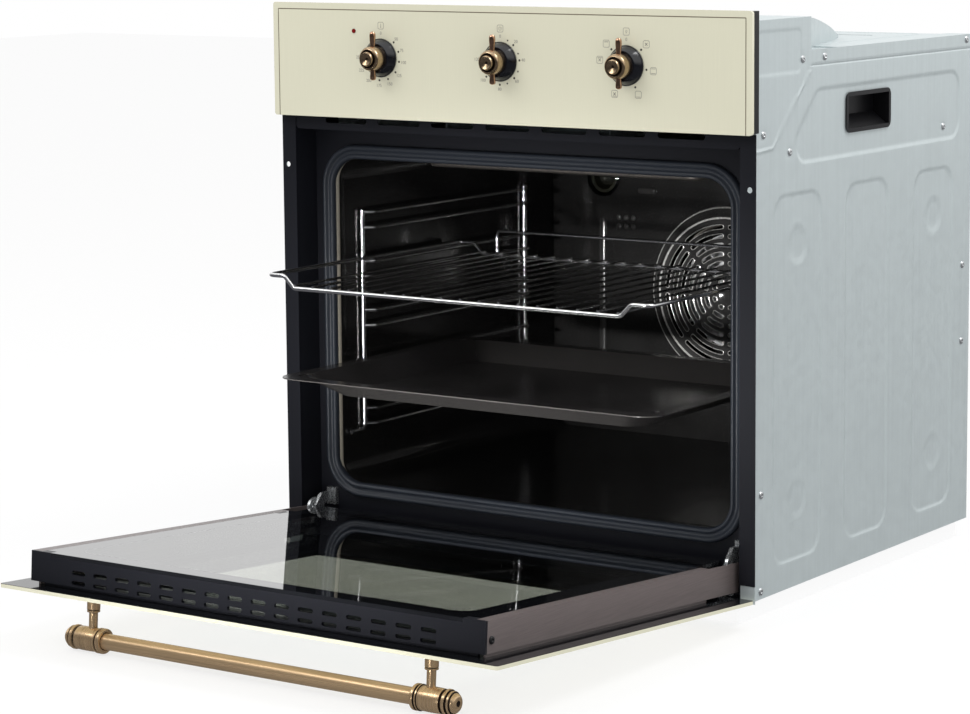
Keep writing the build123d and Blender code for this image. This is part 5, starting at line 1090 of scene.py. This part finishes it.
class OVEN_OT_screws(bpy.types.Operator):
    """Put the screws into the casing and the door"""

    bl_idname = "oven.screws"
    bl_label = "Screws"

    def execute(self, context):
        head = linked("screw head being placed", self.head())
        tree = placed_tree()

        def place(name, points, scale, body, slot, finish, replaced):
            mesh = bare_mesh("points", [point for point, _ in points], [])
            facing = mesh.attributes.new("facing", "FLOAT_VECTOR", "POINT")
            facing.data.foreach_set("vector", [c for _, way in points for c in way])
            result = grown(name, mesh, tree, {
                "Piece": head, "Scale": scale, "Spin seed": 11, "Finish": finish})
            finish_piece(name, result, [finish], body, slot, replaced, smooth=30)

        casing = []
        for side in (-1, 1):
            for d, z in SCREWS:
                dent = float(panel_relief(np.array([d]), np.array([z]))[0])
                casing.append((front_place(side * (CASING_HALF - dent), z, d), (side, 0.0, 0.0)))
        place("casing_screw_heads", casing, 1.0, "casing", "bright_steel", finish_of("bright_steel"),
              ["casing_screws"])
        door = [(door_point(side * 272.0, 446.5, 20.0), (side, 0.0, 0.0)) for side in (-1, 1)]
        place("door_corner_screws", door, 0.95, "door", "black_paint", finish_of("black_plastic"), [])
        bpy.data.objects.remove(head)
        return {"FINISHED"}

    def head(self):
        """One screw head with a cross recess, looking up its own axis."""
        count = 16
        profile = [(0.0, 0.0, 0), (4.0, 0.0, 0), (4.0, 0.7, 0), (3.6, 1.35, 0), (2.6, 1.75, 0), (1.6, 1.8, 0)]
        verts, faces, _ = turned(metres(profile), (0, 0, 0), (0, 0, 1), (1, 0, 0), count)
        rim = len(verts) - count
        recess = len(verts)
        for step in range(count):
            # Every fourth point is the end of one of the cross's arms
            out, up = (0.00055, 0.0009) if step % 4 else (0.0015, 0.0016)
            angle = 2 * math.pi * step / count
            verts.append(Vector((out * math.cos(angle), out * math.sin(angle), up)))
        centre = len(verts)
        verts.append(Vector((0.0, 0.0, 0.0008)))
        for step in range(count):
            after = (step + 1) % count
            faces.append((rim + step, recess + step, recess + after, rim + after))
            faces.append((recess + step, centre, recess + after))
        return bare_mesh("screw head", verts, faces)


class OVEN_OT_gasket(bpy.types.Operator):
    """Make the ridged gasket and the enamelled lip of the mouth"""

    bl_idname = "oven.gasket"
    bl_label = "Gasket and mouth"

    def execute(self, context):
        path = rounded_path(250.0, 69.0, 427.0, 30.0, steps=14)
        profile = [
            (0.3, 35.0, 0), (0.0, 31.2, 0), (0.6, 28.6, 0), (1.9, 27.0, 0), (3.4, 26.8, 0), (4.6, 27.6, 0),
            (5.4, 29.4, 0), (6.6, 30.2, 0), (8.4, 30.2, 0), (9.5, 29.2, 0), (10.4, 27.5, 0), (12.0, 26.8, 0),
            (13.6, 27.2, 0), (15.0, 28.8, 0), (15.5, 31.2, 0), (15.2, 35.0, 0),
        ]
        verts, faces, _ = ring_along(path, profile, front_place)
        mesh_piece("gasket_profile", verts, faces, [finish_of("gasket_rubber")], "casing", "gasket_rubber",
                   ["door_gasket"], smooth=50)
        lip = rounded_path(248.0, 68.0, 427.0, 25.0, steps=14)
        roll = [
            (0.1, 46.0, 0), (-0.6, 40.0, 0), (-0.5, 35.5, 0), (0.2, 33.4, 1), (1.4, 32.6, 1), (2.4, 33.0, 1),
            (2.4, 36.0, 0), (1.0, 46.0, 0),
        ]
        verts, faces, marks = ring_along(lip, roll, front_place)
        mesh_piece("mouth_lip", verts, faces, [finish_of("dark_enamel"), finish_of("lip_enamel")],
                   "casing", "dark_enamel", face_finish=marks, smooth=50)
        return {"FINISHED"}


def slotted_sector(verts, faces, marks, inner, outer, start, turn, slot_half, bar, depth):
    """One cell of the fan cover: a slot with round ends and rolled edges, in a piece of a ring."""
    middle = (inner + outer) / 2
    half_turn = turn / 2 - bar / middle - slot_half / middle
    centre = start + turn / 2
    # Each point of the hole is (radius, angle, share of the slot's half width outwards, and sideways)
    edge, hole = [], []

    def spot(radius, angle, level):
        return front_place(radius * math.cos(angle), FAN_HEIGHT + radius * math.sin(angle), level)

    along, across = 8, 4
    for step in range(along):
        share = step / along
        edge.append(spot(inner, start + turn * share, depth))
        hole.append((middle, centre + half_turn * (2 * share - 1), -1.0, 0.0))
    for step in range(across):
        share = step / across
        edge.append(spot(inner + (outer - inner) * share, start + turn, depth))
        bend = math.pi * share - math.pi / 2
        hole.append((middle, centre + half_turn, math.sin(bend), math.cos(bend)))
    for step in range(along):
        share = step / along
        edge.append(spot(outer, start + turn * (1 - share), depth))
        hole.append((middle, centre + half_turn * (1 - 2 * share), 1.0, 0.0))
    for step in range(across):
        share = step / across
        edge.append(spot(outer - (outer - inner) * share, start, depth))
        bend = math.pi * share + math.pi / 2
        hole.append((middle, centre - half_turn, math.sin(bend), math.cos(bend)))
    count = len(edge)
    rings = [edge]
    for inset, level in ((0.0, 0.0), (-0.55, -0.35), (-0.95, 0.1), (-1.0, 1.3)):
        size = slot_half + inset
        rings.append([spot(radius + size * out, angle + size * sideways / middle, depth + level)
                      for radius, angle, out, sideways in hole])
    for number, (first, second) in enumerate(zip(rings, rings[1:])):
        base = len(verts)
        verts.extend(first + second)
        for index in range(count):
            after = (index + 1) % count
            faces.append((base + index, base + after, base + count + after, base + count + index))
            # The second and third bands round the hole are the rolled edge; mark 1 gives them the pale
            # painted highlight
            marks.append(1 if number in (1, 2) else 0)


def raised_on_wall(x, z, half_width, half_height, height, wall, steps=8):
    """A smooth round-ended bump on a wall that faces the front."""
    corner = min(half_width, half_height)
    path = rounded_path(half_width, -half_height, half_height, corner, steps)
    verts, faces = [], []
    count, levels = len(path), 6
    for level in range(levels + 1):
        turn = math.pi / 2 * level / levels
        inset = corner * (1 - math.cos(turn)) * 0.999
        proud = height * math.sin(turn)
        for (px, pz), (out_x, out_z) in path:
            verts.append(front_place(x + px - out_x * inset, z + pz - out_z * inset, wall - proud))
    for level in range(levels):
        for index in range(count):
            after = (index + 1) % count
            low, high = level * count, (level + 1) * count
            faces.append((low + index, low + after, high + after, high + index))
    faces.append(tuple(range(count - 1, -1, -1)))
    faces.append(tuple(levels * count + index for index in range(count)))
    return verts, faces, [0] * len(faces)


class OVEN_OT_fan_cover(bpy.types.Operator):
    """Make the fan cover with its rings of curved slots, and the pressings of the rear wall"""

    bl_idname = "oven.fan_cover"
    bl_label = "Fan cover"

    def execute(self, context):
        slot_half = sizes().slot_width / MM / 2
        pitch, first, ring_count, sector_count = 10.6, 16.0, 7, 8
        verts, faces, marks = [], [], []
        turn = 2 * math.pi / sector_count
        for ring in range(ring_count):
            middle = first + ring * pitch
            for sector in range(sector_count):
                slotted_sector(verts, faces, marks, middle - pitch / 2, middle + pitch / 2,
                               sector * turn, turn, slot_half, 2.5, FAN_COVER_DEPTH)
        hub = [(0.0, 2.2, 0), (4.0, 2.0, 0), (8.0, 0.6, 0), (first - pitch / 2, 0.0, 0)]
        last = first + (ring_count - 0.5) * pitch
        # Points marked 1 on the rim take the pale rolled-edge finish: painted highlight
        rim = [
            (last, 0.0, 0), (89.0, 0.0, 0), (91.0, -0.5, 1), (93.0, 0.3, 0), (95.5, 3.6, 0), (98.0, 4.4, 0),
            (101.0, 4.6, 0), (102.4, 5.2, 1), (102.9, 6.4, 1), (102.9, 11.0, 0),
        ]
        centre = front_place(0.0, FAN_HEIGHT, FAN_COVER_DEPTH)
        verts, faces, marks = joined([
            (verts, faces, marks),
            turned(metres(hub), centre, (0, 1, 0), (1, 0, 0)),
            turned(metres(rim), centre, (0, 1, 0), (1, 0, 0)),
        ])
        mesh = bare_mesh("fan cover sheet", verts, faces)
        mesh.polygons.foreach_set("material_index", marks)
        with edited(mesh) as work:
            bmesh.ops.remove_doubles(work, verts=work.verts, dist=2e-5)
            bmesh.ops.recalc_face_normals(work, faces=work.faces)
            if sum(f.normal.y * f.calc_area() for f in work.faces) > 0:
                bmesh.ops.reverse_faces(work, faces=work.faces)
        # The cover's enamel is lightened and its rolled edges are pale: painted highlight
        finish_piece("fan_cover_slotted", thickened(mesh, 0.0008),
                     [finish_of("fan_enamel_painted_highlight"), finish_of("fan_edge_painted_highlight")],
                     "casing", "dark_enamel", ["fan_cover"], smooth=40, tidy=False)
        self.rear_wall()
        return {"FINISHED"}

    def rear_wall(self):
        """The two beads, the round dimples and the small hooded slot pressed into the rear wall."""
        wall = REAR_WALL_DEPTH
        bumps = [raised_on_wall(x, 237.0, 5.0, 88.0, 2.2, wall) for x in (-177.0, 177.0)]
        for column in range(3):
            for row in range(2):
                bumps.append(raised_on_wall(-154.0 + column * 10.0, 316.0 + row * 10.5, 3.6, 3.6, 1.6, wall))
        bumps.append(raised_on_wall(-114.5, 360.0, 13.5, 4.0, 2.6, wall))
        verts, faces, _ = joined(bumps)
        # The pressings take a lighter enamel than the wall round them: painted highlight
        mesh_piece("rear_wall_pressings", verts, faces, [finish_of("pressed_enamel_painted_highlight")], "casing",
                   "dark_enamel", smooth=45)


# Knobs, dials and the facia


def knob_parts(x):
    """Skirt and grip of one knob."""
    centre = (x, FRONT, KNOB_Z)
    out, right = (0.0, -1.0, 0.0), (1.0, 0.0, 0.0)
    skirt = [
        (0.0, 12.1, 0), (20.5, 12.1, 0), (20.5, 13.1, 0), (20.2, 13.6, 0), (19.6, 13.7, 0), (19.2, 14.3, 0),
        (15.9, 20.9, 0), (15.3, 21.5, 0), (14.4, 21.6, 0), (0.0, 21.6, 0),
    ]
    barrel = [
        (0.0, 21.0, 0), (12.7, 21.0, 0), (12.8, 22.4, 0), (12.5, 22.8, 1), (12.3, 23.3, 1), (12.6, 23.7, 0),
        (12.8, 27.5, 0), (12.75, 31.0, 0), (12.5, 32.6, 0), (11.9, 34.0, 0), (11.0, 35.1, 0), (10.2, 35.5, 0),
        (9.8, 35.4, 0), (9.5, 34.6, 1), (9.2, 33.9, 1), (8.1, 33.9, 1), (7.8, 34.4, 1), (7.7, 36.6, 0),
        (7.5, 38.2, 0), (7.0, 39.0, 0), (6.4, 39.2, 0), (5.8, 38.9, 0), (3.4, 37.9, 0), (1.5, 37.2, 0),
        (1.0, 36.9, 1), (0.0, 36.8, 1),
    ]
    pin_up = [
        (0.0, 6.0, 2), (2.5, 6.0, 2), (2.5, 11.5, 2), (2.8, 12.6, 2), (2.7, 14.0, 2), (3.0, 18.0, 2),
        (3.3, 22.5, 2), (3.3, 25.0, 2), (2.9, 26.9, 2), (2.0, 28.0, 2), (0.9, 28.45, 2), (0.0, 28.5, 2),
    ]
    # Below the barrel the pin stands out less far
    collar = 12.6
    pin_down = [(r, -z if z <= collar else -(collar + (z - collar) * 0.65), m) for r, z, m in pin_up]
    pin_centre = (x, FRONT - 0.0261, KNOB_Z)
    return (
        turned(metres(skirt), centre, out, right, 72),
        joined([
            turned(metres(barrel), centre, out, right, 56),
            turned(metres(pin_up), pin_centre, (0, 0, 1), right, 28),
            turned(metres(pin_down), pin_centre, (0, 0, 1), right, 28),
        ]),
    )


class OVEN_OT_knobs(bpy.types.Operator):
    """Make the three knobs: turned skirts, barrels, caps and cross pins"""

    bl_idname = "oven.knobs"
    bl_label = "Knobs"

    def execute(self, context):
        for name, x in KNOBS.items():
            skirt, grip = knob_parts(x)
            mesh_piece(f"{name}_knob_skirt", skirt[0], skirt[1], [finish_of("skirt_plastic")],
                       f"{name}_knob", "black_plastic", [f"{name}_skirt"], smooth=28)
            mesh_piece(f"{name}_knob_grip", grip[0], grip[1],
                       [finish_of("brass_turned_y"), finish_of("patina"), finish_of("brass_pin")],
                       f"{name}_knob", "antique_brass", [f"{name}_grip"], face_finish=grip[2], smooth=28)
        return {"FINISHED"}


def text_mesh(text, x, z, height):
    """One printed word as a flat mesh on the facia's face."""
    curve = bpy.data.curves.new("print", "FONT")
    curve.body = text
    curve.size = height * 1.38
    curve.align_x = "CENTER"
    curve.align_y = "CENTER"
    curve.extrude = 0.0
    curve.resolution_u = 3
    mesh = settled(linked("print being made", curve))
    upright = Euler((math.pi / 2, 0, 0)).to_matrix().to_4x4()
    mesh.transform(Matrix.Translation((x, PANEL_FACE - sizes().print_thickness, z)) @ upright)
    return mesh


def round_points(x, z, radius, count):
    """Points of a circle in X and Z."""
    turns = [2 * math.pi * step / count for step in range(count)]
    return [(x + radius * math.cos(turn), z + radius * math.sin(turn)) for turn in turns]


def stroke(points, width, closed=False):
    """A printed line of even width through points (x, z) in millimetres, as flat quads."""
    verts, faces = [], []
    pairs = zip(points, points[1:] + points[:1] if closed else points[1:])
    y = PANEL_FACE - sizes().print_thickness
    for (x0, z0), (x1, z1) in pairs:
        length = math.hypot(x1 - x0, z1 - z0)
        ux, uz = (x1 - x0) / length, (z1 - z0) / length
        ex, ez = ux * width / 2, uz * width / 2
        nx, nz = -uz * width / 2, ux * width / 2
        base = len(verts)
        for px, pz in ((x0 - ex - nx, z0 - ez - nz), (x1 + ex - nx, z1 + ez - nz),
                       (x1 + ex + nx, z1 + ez + nz), (x0 - ex + nx, z0 - ez + nz)):
            verts.append(Vector((px * MM, y, pz * MM)))
        faces.append((base, base + 1, base + 2, base + 3))
    return verts, faces, [0] * len(faces)


def dot(x, z, radius):
    """A printed dot."""
    y = PANEL_FACE - sizes().print_thickness
    verts = [Vector((px * MM, y, pz * MM)) for px, pz in round_points(x, z, radius, 14)]
    return verts, [tuple(range(len(verts)))], [0]


def square(x, z, half):
    """A printed square with cut corners."""
    corner = half * 0.3
    points = [(x - half + corner, z - half), (x + half - corner, z - half), (x + half, z - half + corner),
              (x + half, z + half - corner), (x + half - corner, z + half), (x - half + corner, z + half),
              (x - half, z + half - corner), (x - half, z - half + corner)]
    return stroke(points, 0.42, closed=True)


def circle_line(x, z, radius):
    """A printed circle."""
    return stroke(round_points(x, z, radius, 16), 0.3, closed=True)


def icon(kind, x, z):
    """One of the generic oven signs: a square outline with what heats inside it."""
    parts = [square(x, z, 3.6)]
    if kind in ("top", "both", "grill fan"):
        parts.append(stroke([(x - 2.3, z + 2.3), (x + 2.3, z + 2.3)], 0.5))
    if kind in ("bottom", "both", "bottom fan"):
        parts.append(stroke([(x - 2.3, z - 2.3), (x + 2.3, z - 2.3)], 0.5))
    if kind == "grill":
        points = [(x - 2.2 + i * 0.88, z + (2.4 if i % 2 else 1.4)) for i in range(6)]
        parts.append(stroke(points, 0.42))
    if kind in ("fan", "grill fan", "bottom fan"):
        parts.append(stroke([(x - 1.2, z - 1.2), (x + 1.2, z + 1.2)], 0.7))
        parts.append(stroke([(x - 1.2, z + 1.2), (x + 1.2, z - 1.2)], 0.7))
    if kind == "thermometer":
        parts.append(stroke([(x, z - 1.2), (x, z + 1.8)], 0.45))
        parts.append(dot(x, z - 1.5, 0.6))
    if kind == "clock":
        parts.append(circle_line(x, z, 1.8))
        parts.append(stroke([(x, z + 1.2), (x, z), (x + 0.9, z - 0.5)], 0.3))
    if kind == "lamp":
        parts.append(circle_line(x, z + 0.3, 1.0))
        parts.append(stroke([(x - 0.5, z - 1.4), (x + 0.5, z - 1.4)], 0.35))
    return parts


class OVEN_OT_dials(bpy.types.Operator):
    """Print the dials' numerals, dots and signs, and the fine line round the facia"""

    bl_idname = "oven.dials"
    bl_label = "Dials and lines"

    def execute(self, context):
        z0 = KNOB_Z / MM
        zero_above, sign_above, dot_radius, sign_radius = 26, 34, 23.8, 32.0
        grey, dark, words = [], [], []
        height = sizes().numeral_height

        def spot(x, angle, radius):
            turn = math.radians(angle)
            return x + radius * math.cos(turn), z0 + radius * math.sin(turn)

        temperature, timer, function = (KNOBS[name] / MM for name in ("temperature", "timer", "function"))
        numerals = [
            (temperature, [("50", 45), ("75", 17), ("100", -8.5), ("125", -38), ("150", -68), ("175", -96),
                           ("200", -124), ("225", -152), ("250", 180)]),
            (timer, [("20", 47), ("40", 4.5), ("60", -44), ("80", -92), ("100", -138), ("120", -183)]),
        ]
        for x, marks in numerals:
            for text, angle in marks:
                px, pz = spot(x, angle, 29.5 if len(text) == 3 else 28.5)
                words.append(text_mesh(text, px * MM, pz * MM, height))
                dark.append(dot(*spot(x, angle, dot_radius), 1.15))
            words.append(text_mesh("0", x * MM, (z0 + zero_above) * MM, height))
        for step in range(1, 12, 2):
            dark.append(dot(*spot(timer, 90 - step * 22.75, dot_radius), 0.9))
        words.append(text_mesh("0", function * MM, (z0 + zero_above) * MM, height))
        for kind, x in (("thermometer", temperature), ("clock", timer), ("lamp", function)):
            grey.extend(icon(kind, x, z0 + sign_above))
        for kind, angle in (("fan", 43), ("both", -8.5), ("bottom", -64), ("bottom fan", -116),
                            ("grill fan", 171), ("grill", 138)):
            grey.extend(icon(kind, *spot(function, angle, sign_radius)))
            dark.append(dot(*spot(function, angle, dot_radius), 1.15))
        verts, faces, _ = joined(grey)
        self.print_piece("dial_numerals", merged([bare_mesh("signs", verts, faces), *words]), "print_grey")
        verts, faces, _ = joined(dark)
        self.print_piece("dial_dots", bare_mesh("dots", verts, faces), "print_dark")
        self.lines()
        return {"FINISHED"}

    def print_piece(self, name, mesh, finish):
        """Gives flat print a thin body that ends just inside the glass."""
        with edited(mesh) as work:
            for face in work.faces:
                if face.normal.y > 0:
                    face.normal_flip()
            thicken_faces(work, 2 * sizes().print_thickness)
            bmesh.ops.recalc_face_normals(work, faces=work.faces)
        finish_piece(name, mesh, [finish_of(finish)], "casing", "cream_enamel", tidy=False, smooth=20)

    def lines(self):
        """The fine line: facia's sides and top, and the door's sides and foot."""
        inset = sizes().groove_inset / MM
        width = sizes().groove_width / MM
        proud = 0.04
        half, top, foot = FACIA_HALF - inset, FACIA_TOP - inset, DOOR_FOOT + inset

        def strip(points, place):
            verts, faces = [], []
            for (x0, z0), (x1, z1) in zip(points, points[1:]):
                length = math.hypot(x1 - x0, z1 - z0)
                ux, uz = (x1 - x0) / length, (z1 - z0) / length
                nx, nz = -uz * width / 2, ux * width / 2
                b = len(verts)
                for level in (-proud, proud):
                    for px, pz in ((x0 - nx, z0 - nz), (x1 - nx, z1 - nz),
                                   (x1 + nx, z1 + nz), (x0 + nx, z0 + nz)):
                        verts.append(place(px, pz, level))
                faces += [
                    (b, b + 1, b + 2, b + 3), (b + 7, b + 6, b + 5, b + 4), (b, b + 4, b + 5, b + 1),
                    (b + 1, b + 5, b + 6, b + 2), (b + 2, b + 6, b + 7, b + 3), (b + 3, b + 7, b + 4, b),
                ]
            return verts, faces

        panel = [(-half, 475.5), (-half, top), (half, top), (half, 475.5)]
        verts, faces = strip(panel, lambda x, z, level: Vector((x * MM, PANEL_FACE + level * MM, z * MM)))
        mesh_piece("facia_line", verts, faces, [finish_of("fine_line")], "casing", "cream_enamel", smooth=20)
        door = [(-half, 473.5), (-half, foot), (half, foot), (half, 473.5)]
        verts, faces = strip(door, door_point)
        mesh_piece("door_line", verts, faces, [finish_of("fine_line")], "door", "cream_enamel", smooth=20)


class OVEN_OT_handle(bpy.types.Operator):
    """Make the handle: a drawn bar between turned ends on posts"""

    bl_idname = "oven.handle"
    bl_label = "Handle"

    def execute(self, context):
        centre = door_point(0.0, HANDLE_HEIGHT, -44.0)
        ends = [
            (0.0, 187.4, 1), (8.6, 187.4, 1), (9.2, 186.8, 0), (11.2, 186.9, 0), (12.3, 187.6, 0),
            (12.5, 188.6, 0), (12.5, 190.2, 0), (12.2, 190.9, 0), (11.2, 191.1, 1), (11.0, 191.6, 1),
            (11.0, 192.3, 1), (11.3, 192.7, 1), (12.2, 192.9, 0), (12.5, 193.3, 0), (12.4, 194.4, 0),
            (11.9, 194.9, 1), (11.5, 195.2, 1), (11.6, 195.8, 0), (11.9, 204.0, 0), (11.9, 212.0, 0),
            (11.6, 219.2, 0), (11.3, 219.8, 1), (10.2, 220.2, 1), (10.0, 221.0, 1), (10.2, 221.8, 1),
            (11.8, 222.2, 0), (12.2, 222.8, 0), (12.2, 224.8, 0), (11.8, 225.5, 0), (10.4, 225.9, 1),
            (10.1, 226.6, 1), (10.3, 227.2, 1), (11.0, 227.6, 0), (11.0, 229.0, 0), (10.6, 229.6, 0),
            (9.4, 229.9, 1), (9.2, 230.5, 1), (9.3, 230.9, 0), (9.0, 232.0, 0), (8.0, 233.1, 0),
            (6.2, 233.8, 0), (3.0, 234.0, 0), (1.2, 233.8, 1), (0.0, 233.8, 1),
        ]
        post = [
            (0.0, 0.0, 0), (6.5, 0.0, 0), (6.5, 14.2, 0), (6.1, 14.6, 1), (6.1, 15.0, 1),
            (6.5, 15.3, 0), (6.5, 16.2, 0), (6.2, 16.8, 0), (5.4, 17.0, 0), (4.6, 17.0, 1),
            (4.3, 17.5, 1), (4.4, 18.5, 0), (4.3, 40.0, 0), (0.0, 40.0, 0),
        ]
        parts = []
        for side in (-1, 1):
            parts.append(turned(metres(ends), centre, (side, 0, 0), DOOR_INWARD))
            root = door_point(side * 203.5, HANDLE_HEIGHT, 0.0)
            parts.append(turned(metres(post), root, -DOOR_INWARD, (1, 0, 0), 40))
        verts, faces, marks = joined(parts)
        mesh_piece("handle_turned_ends", verts, faces, [finish_of("brass_turned_x"), finish_of("patina")],
                   "door", "antique_brass", ["handle_ends"], face_finish=marks, smooth=28)
        radius, half, rings = 8.0, 188.0, 40
        bar = [(0.0, -half, 0)]
        bar += [(radius, -half + 2 * half * step / rings, 0) for step in range(rings + 1)]
        bar.append((0.0, half, 0))
        verts, faces, _ = turned(metres(bar), centre, (1, 0, 0), DOOR_INWARD)
        mesh_piece("handle_drawn_bar", verts, faces, [finish_of("brass_drawn")], "door", "antique_brass",
                   ["handle_bar"], smooth=28)
        return {"FINISHED"}


class OVEN_OT_stage(bpy.types.Operator):
    """Set up the pale floor, the room, the lights and the camera"""

    bl_idname = "oven.stage"
    bl_label = "Studio"

    def execute(self, context):
        scene = context.scene
        studio = scene.oven_studio
        pale = self.floor_finish()
        ground = [(-9, -9, FLOOR_Z), (9, -9, FLOOR_Z), (9, 9, FLOOR_Z), (-9, 9, FLOOR_Z)]
        front, rear = FRONT + 0.012, FRONT + 0.506
        verts, faces, _ = plate([(-0.27, front, FLOOR_Z), (0.27, front, FLOOR_Z),
                                 (0.27, rear, FLOOR_Z), (-0.27, rear, FLOOR_Z)], (0, 0, 0.0203))
        for name, mesh in (("floor", bare_mesh("floor", ground, [(0, 1, 2, 3)])),
                           ("plinth", bare_mesh("plinth", verts, faces))):
            mesh.materials.append(pale)
            piece = linked(name, mesh)
        self.room(scene, studio)
        self.light("key light", (-1.4, -2.4, 2.6), (0.0, -0.2, 0.3), (1.8, 1.2), studio.key_power)
        self.light("side light", (1.25, 0.25, 2.3), (0.28, 0.0, 0.3), (1.0, 1.0), studio.side_power)
        self.light("cavity light", (0.05, -2.20, 0.14), (0.0, 0.20, 0.24), (0.4, 0.1),
                   studio.cavity_power, 16.0)
        self.camera(scene, studio)
        scene.view_settings.view_transform = "Standard"
        return {"FINISHED"}

    def floor_finish(self):
        """A pale floor that lights itself a little, so that shadows stay soft.

        It mirrors dark, like a hall behind.
        """
        finish, tree, shader = new_finish("Pale floor")
        tone = ranged(tree, noise(tree, object_coordinates(tree), 40.0), 0.3, 0.7)
        put(tree, shader, ("Roughness", 0.7),
            ("Base Color", blended(tree, tone, (0.85, 0.85, 0.85), (0.83, 0.83, 0.83))))
        glow = add(tree, "ShaderNodeEmission", ("Strength", 1.06)).outputs[0]
        dark = add(tree, "ShaderNodeEmission", ("Color", (0.10, 0.10, 0.11, 1.0))).outputs[0]
        glossy = add(tree, "ShaderNodeLightPath").outputs["Is Glossy Ray"]
        show(tree, mixed(tree, glossy, mixed(tree, 0.72, shader.outputs[0], glow), dark))
        return finish

    def room(self, scene, studio):
        """A white room: seen white, mirrored bright above and behind and dark in front, giving even light."""
        world = bpy.data.worlds.new("white room")
        scene.world = world
        world.use_nodes = True
        tree = world.node_tree
        tree.nodes.clear()
        output = add(tree, "ShaderNodeOutputWorld")
        place = add(tree, "ShaderNodeTexCoord").outputs["Generated"]

        def toward(direction, low, high, first, second, strength):
            share = ranged(tree, reach(tree, place, Vector(direction).normalized()), low, high)
            return background(blended(tree, share, first, second), strength)

        def background(colour, strength):
            return add(tree, "ShaderNodeBackground", ("Color", colour), ("Strength", strength)).outputs[0]

        mirrored = toward((0.0, 0.62, 0.78), -0.05, 0.22, (0.045, 0.048, 0.055), (1.0, 1.0, 1.0), 1.0)
        ambient = toward((0.0, -0.25, 0.97), -0.6, 0.9, (0.42, 0.42, 0.42), (1.0, 1.0, 1.0), studio.sky)
        path = add(tree, "ShaderNodeLightPath").outputs
        lit = mixed(tree, path["Is Glossy Ray"], ambient, mirrored)
        seen = mixed(tree, path["Is Camera Ray"], lit, background((1.0, 1.0, 1.0, 1.0), 1.0))
        put(tree, output, ("Surface", seen))

    def light(self, name, place, aim, size, power, spread=180.0):
        """A rectangular light at a place, aimed at a point. The spread is in degrees."""
        lamp = bpy.data.lights.new(name, "AREA")
        lamp.shape = "RECTANGLE"
        lamp.size, lamp.size_y = size
        lamp.energy = power
        lamp.spread = math.radians(spread)
        holder = linked(name, lamp)
        holder.location = place
        holder.rotation_euler = (Vector(aim) - Vector(place)).to_track_quat("-Z", "Y").to_euler()

    def camera(self, scene, studio):
        """The photograph's camera."""
        yaw, pitch, roll = studio.yaw, studio.pitch, studio.roll
        level = math.cos(pitch)
        forward = Vector((-math.sin(yaw) * level, math.cos(yaw) * level, -math.sin(pitch)))
        right = Vector((math.cos(yaw), math.sin(yaw), 0.0))
        up = right.cross(forward)
        turned_right = math.cos(roll) * right + math.sin(roll) * up
        turned_up = -math.sin(roll) * right + math.cos(roll) * up
        view = bpy.data.cameras.new("camera")
        view.sensor_width = 36.0
        view.lens = studio.lens
        view.shift_x, view.shift_y = -0.03, -0.07
        view.clip_start, view.clip_end = 0.05, 60.0
        place = Matrix((turned_right, turned_up, -forward)).transposed().to_4x4()
        place.translation = Vector(studio.camera_place)
        scene.camera = linked("camera", view)
        scene.camera.matrix_world = place


# The steps in the order in which they run
STEPS = [
    OVEN_OT_finishes, OVEN_OT_side_panels, OVEN_OT_racks, OVEN_OT_shelf, OVEN_OT_gasket,
    OVEN_OT_fan_cover, OVEN_OT_knobs, OVEN_OT_dials, OVEN_OT_handle, OVEN_OT_screws, OVEN_OT_stage,
]


class OVEN_PT_steps(bpy.types.Panel):
    """Lists the oven's steps and their settings"""

    bl_idname = "OVEN_PT_steps"
    bl_label = "Built-in oven"
    bl_space_type = "VIEW_3D"
    bl_region_type = "UI"
    bl_category = "Oven"

    def draw(self, context):
        for step in STEPS:
            self.layout.operator(step.bl_idname)
        for group in (context.scene.oven_sizes, context.scene.oven_finishes, context.scene.oven_studio):
            for name in group.bl_rna.properties.keys():
                if name not in ("rna_type", "name"):
                    self.layout.prop(group, name)


CLASSES = [OvenSizes, OvenFinishes, OvenStudio, *STEPS, OVEN_PT_steps]


def register():
    for cls in CLASSES:
        bpy.utils.register_class(cls)
    bpy.types.Scene.oven_sizes = bpy.props.PointerProperty(type=OvenSizes)
    bpy.types.Scene.oven_finishes = bpy.props.PointerProperty(type=OvenFinishes)
    bpy.types.Scene.oven_studio = bpy.props.PointerProperty(type=OvenStudio)


def unregister():
    del bpy.types.Scene.oven_studio
    del bpy.types.Scene.oven_finishes
    del bpy.types.Scene.oven_sizes
    for cls in reversed(CLASSES):
        bpy.utils.unregister_class(cls)


def main():
    register()
    bpy.ops.oven.finishes()
    bpy.ops.oven.side_panels()
    bpy.ops.oven.racks()
    bpy.ops.oven.shelf()
    bpy.ops.oven.gasket()
    bpy.ops.oven.fan_cover()
    bpy.ops.oven.knobs()
    bpy.ops.oven.dials()
    bpy.ops.oven.handle()
    bpy.ops.oven.screws()
    bpy.ops.oven.stage()
    bpy.context.view_layer.update()


if __name__ == "__main__":
    main()
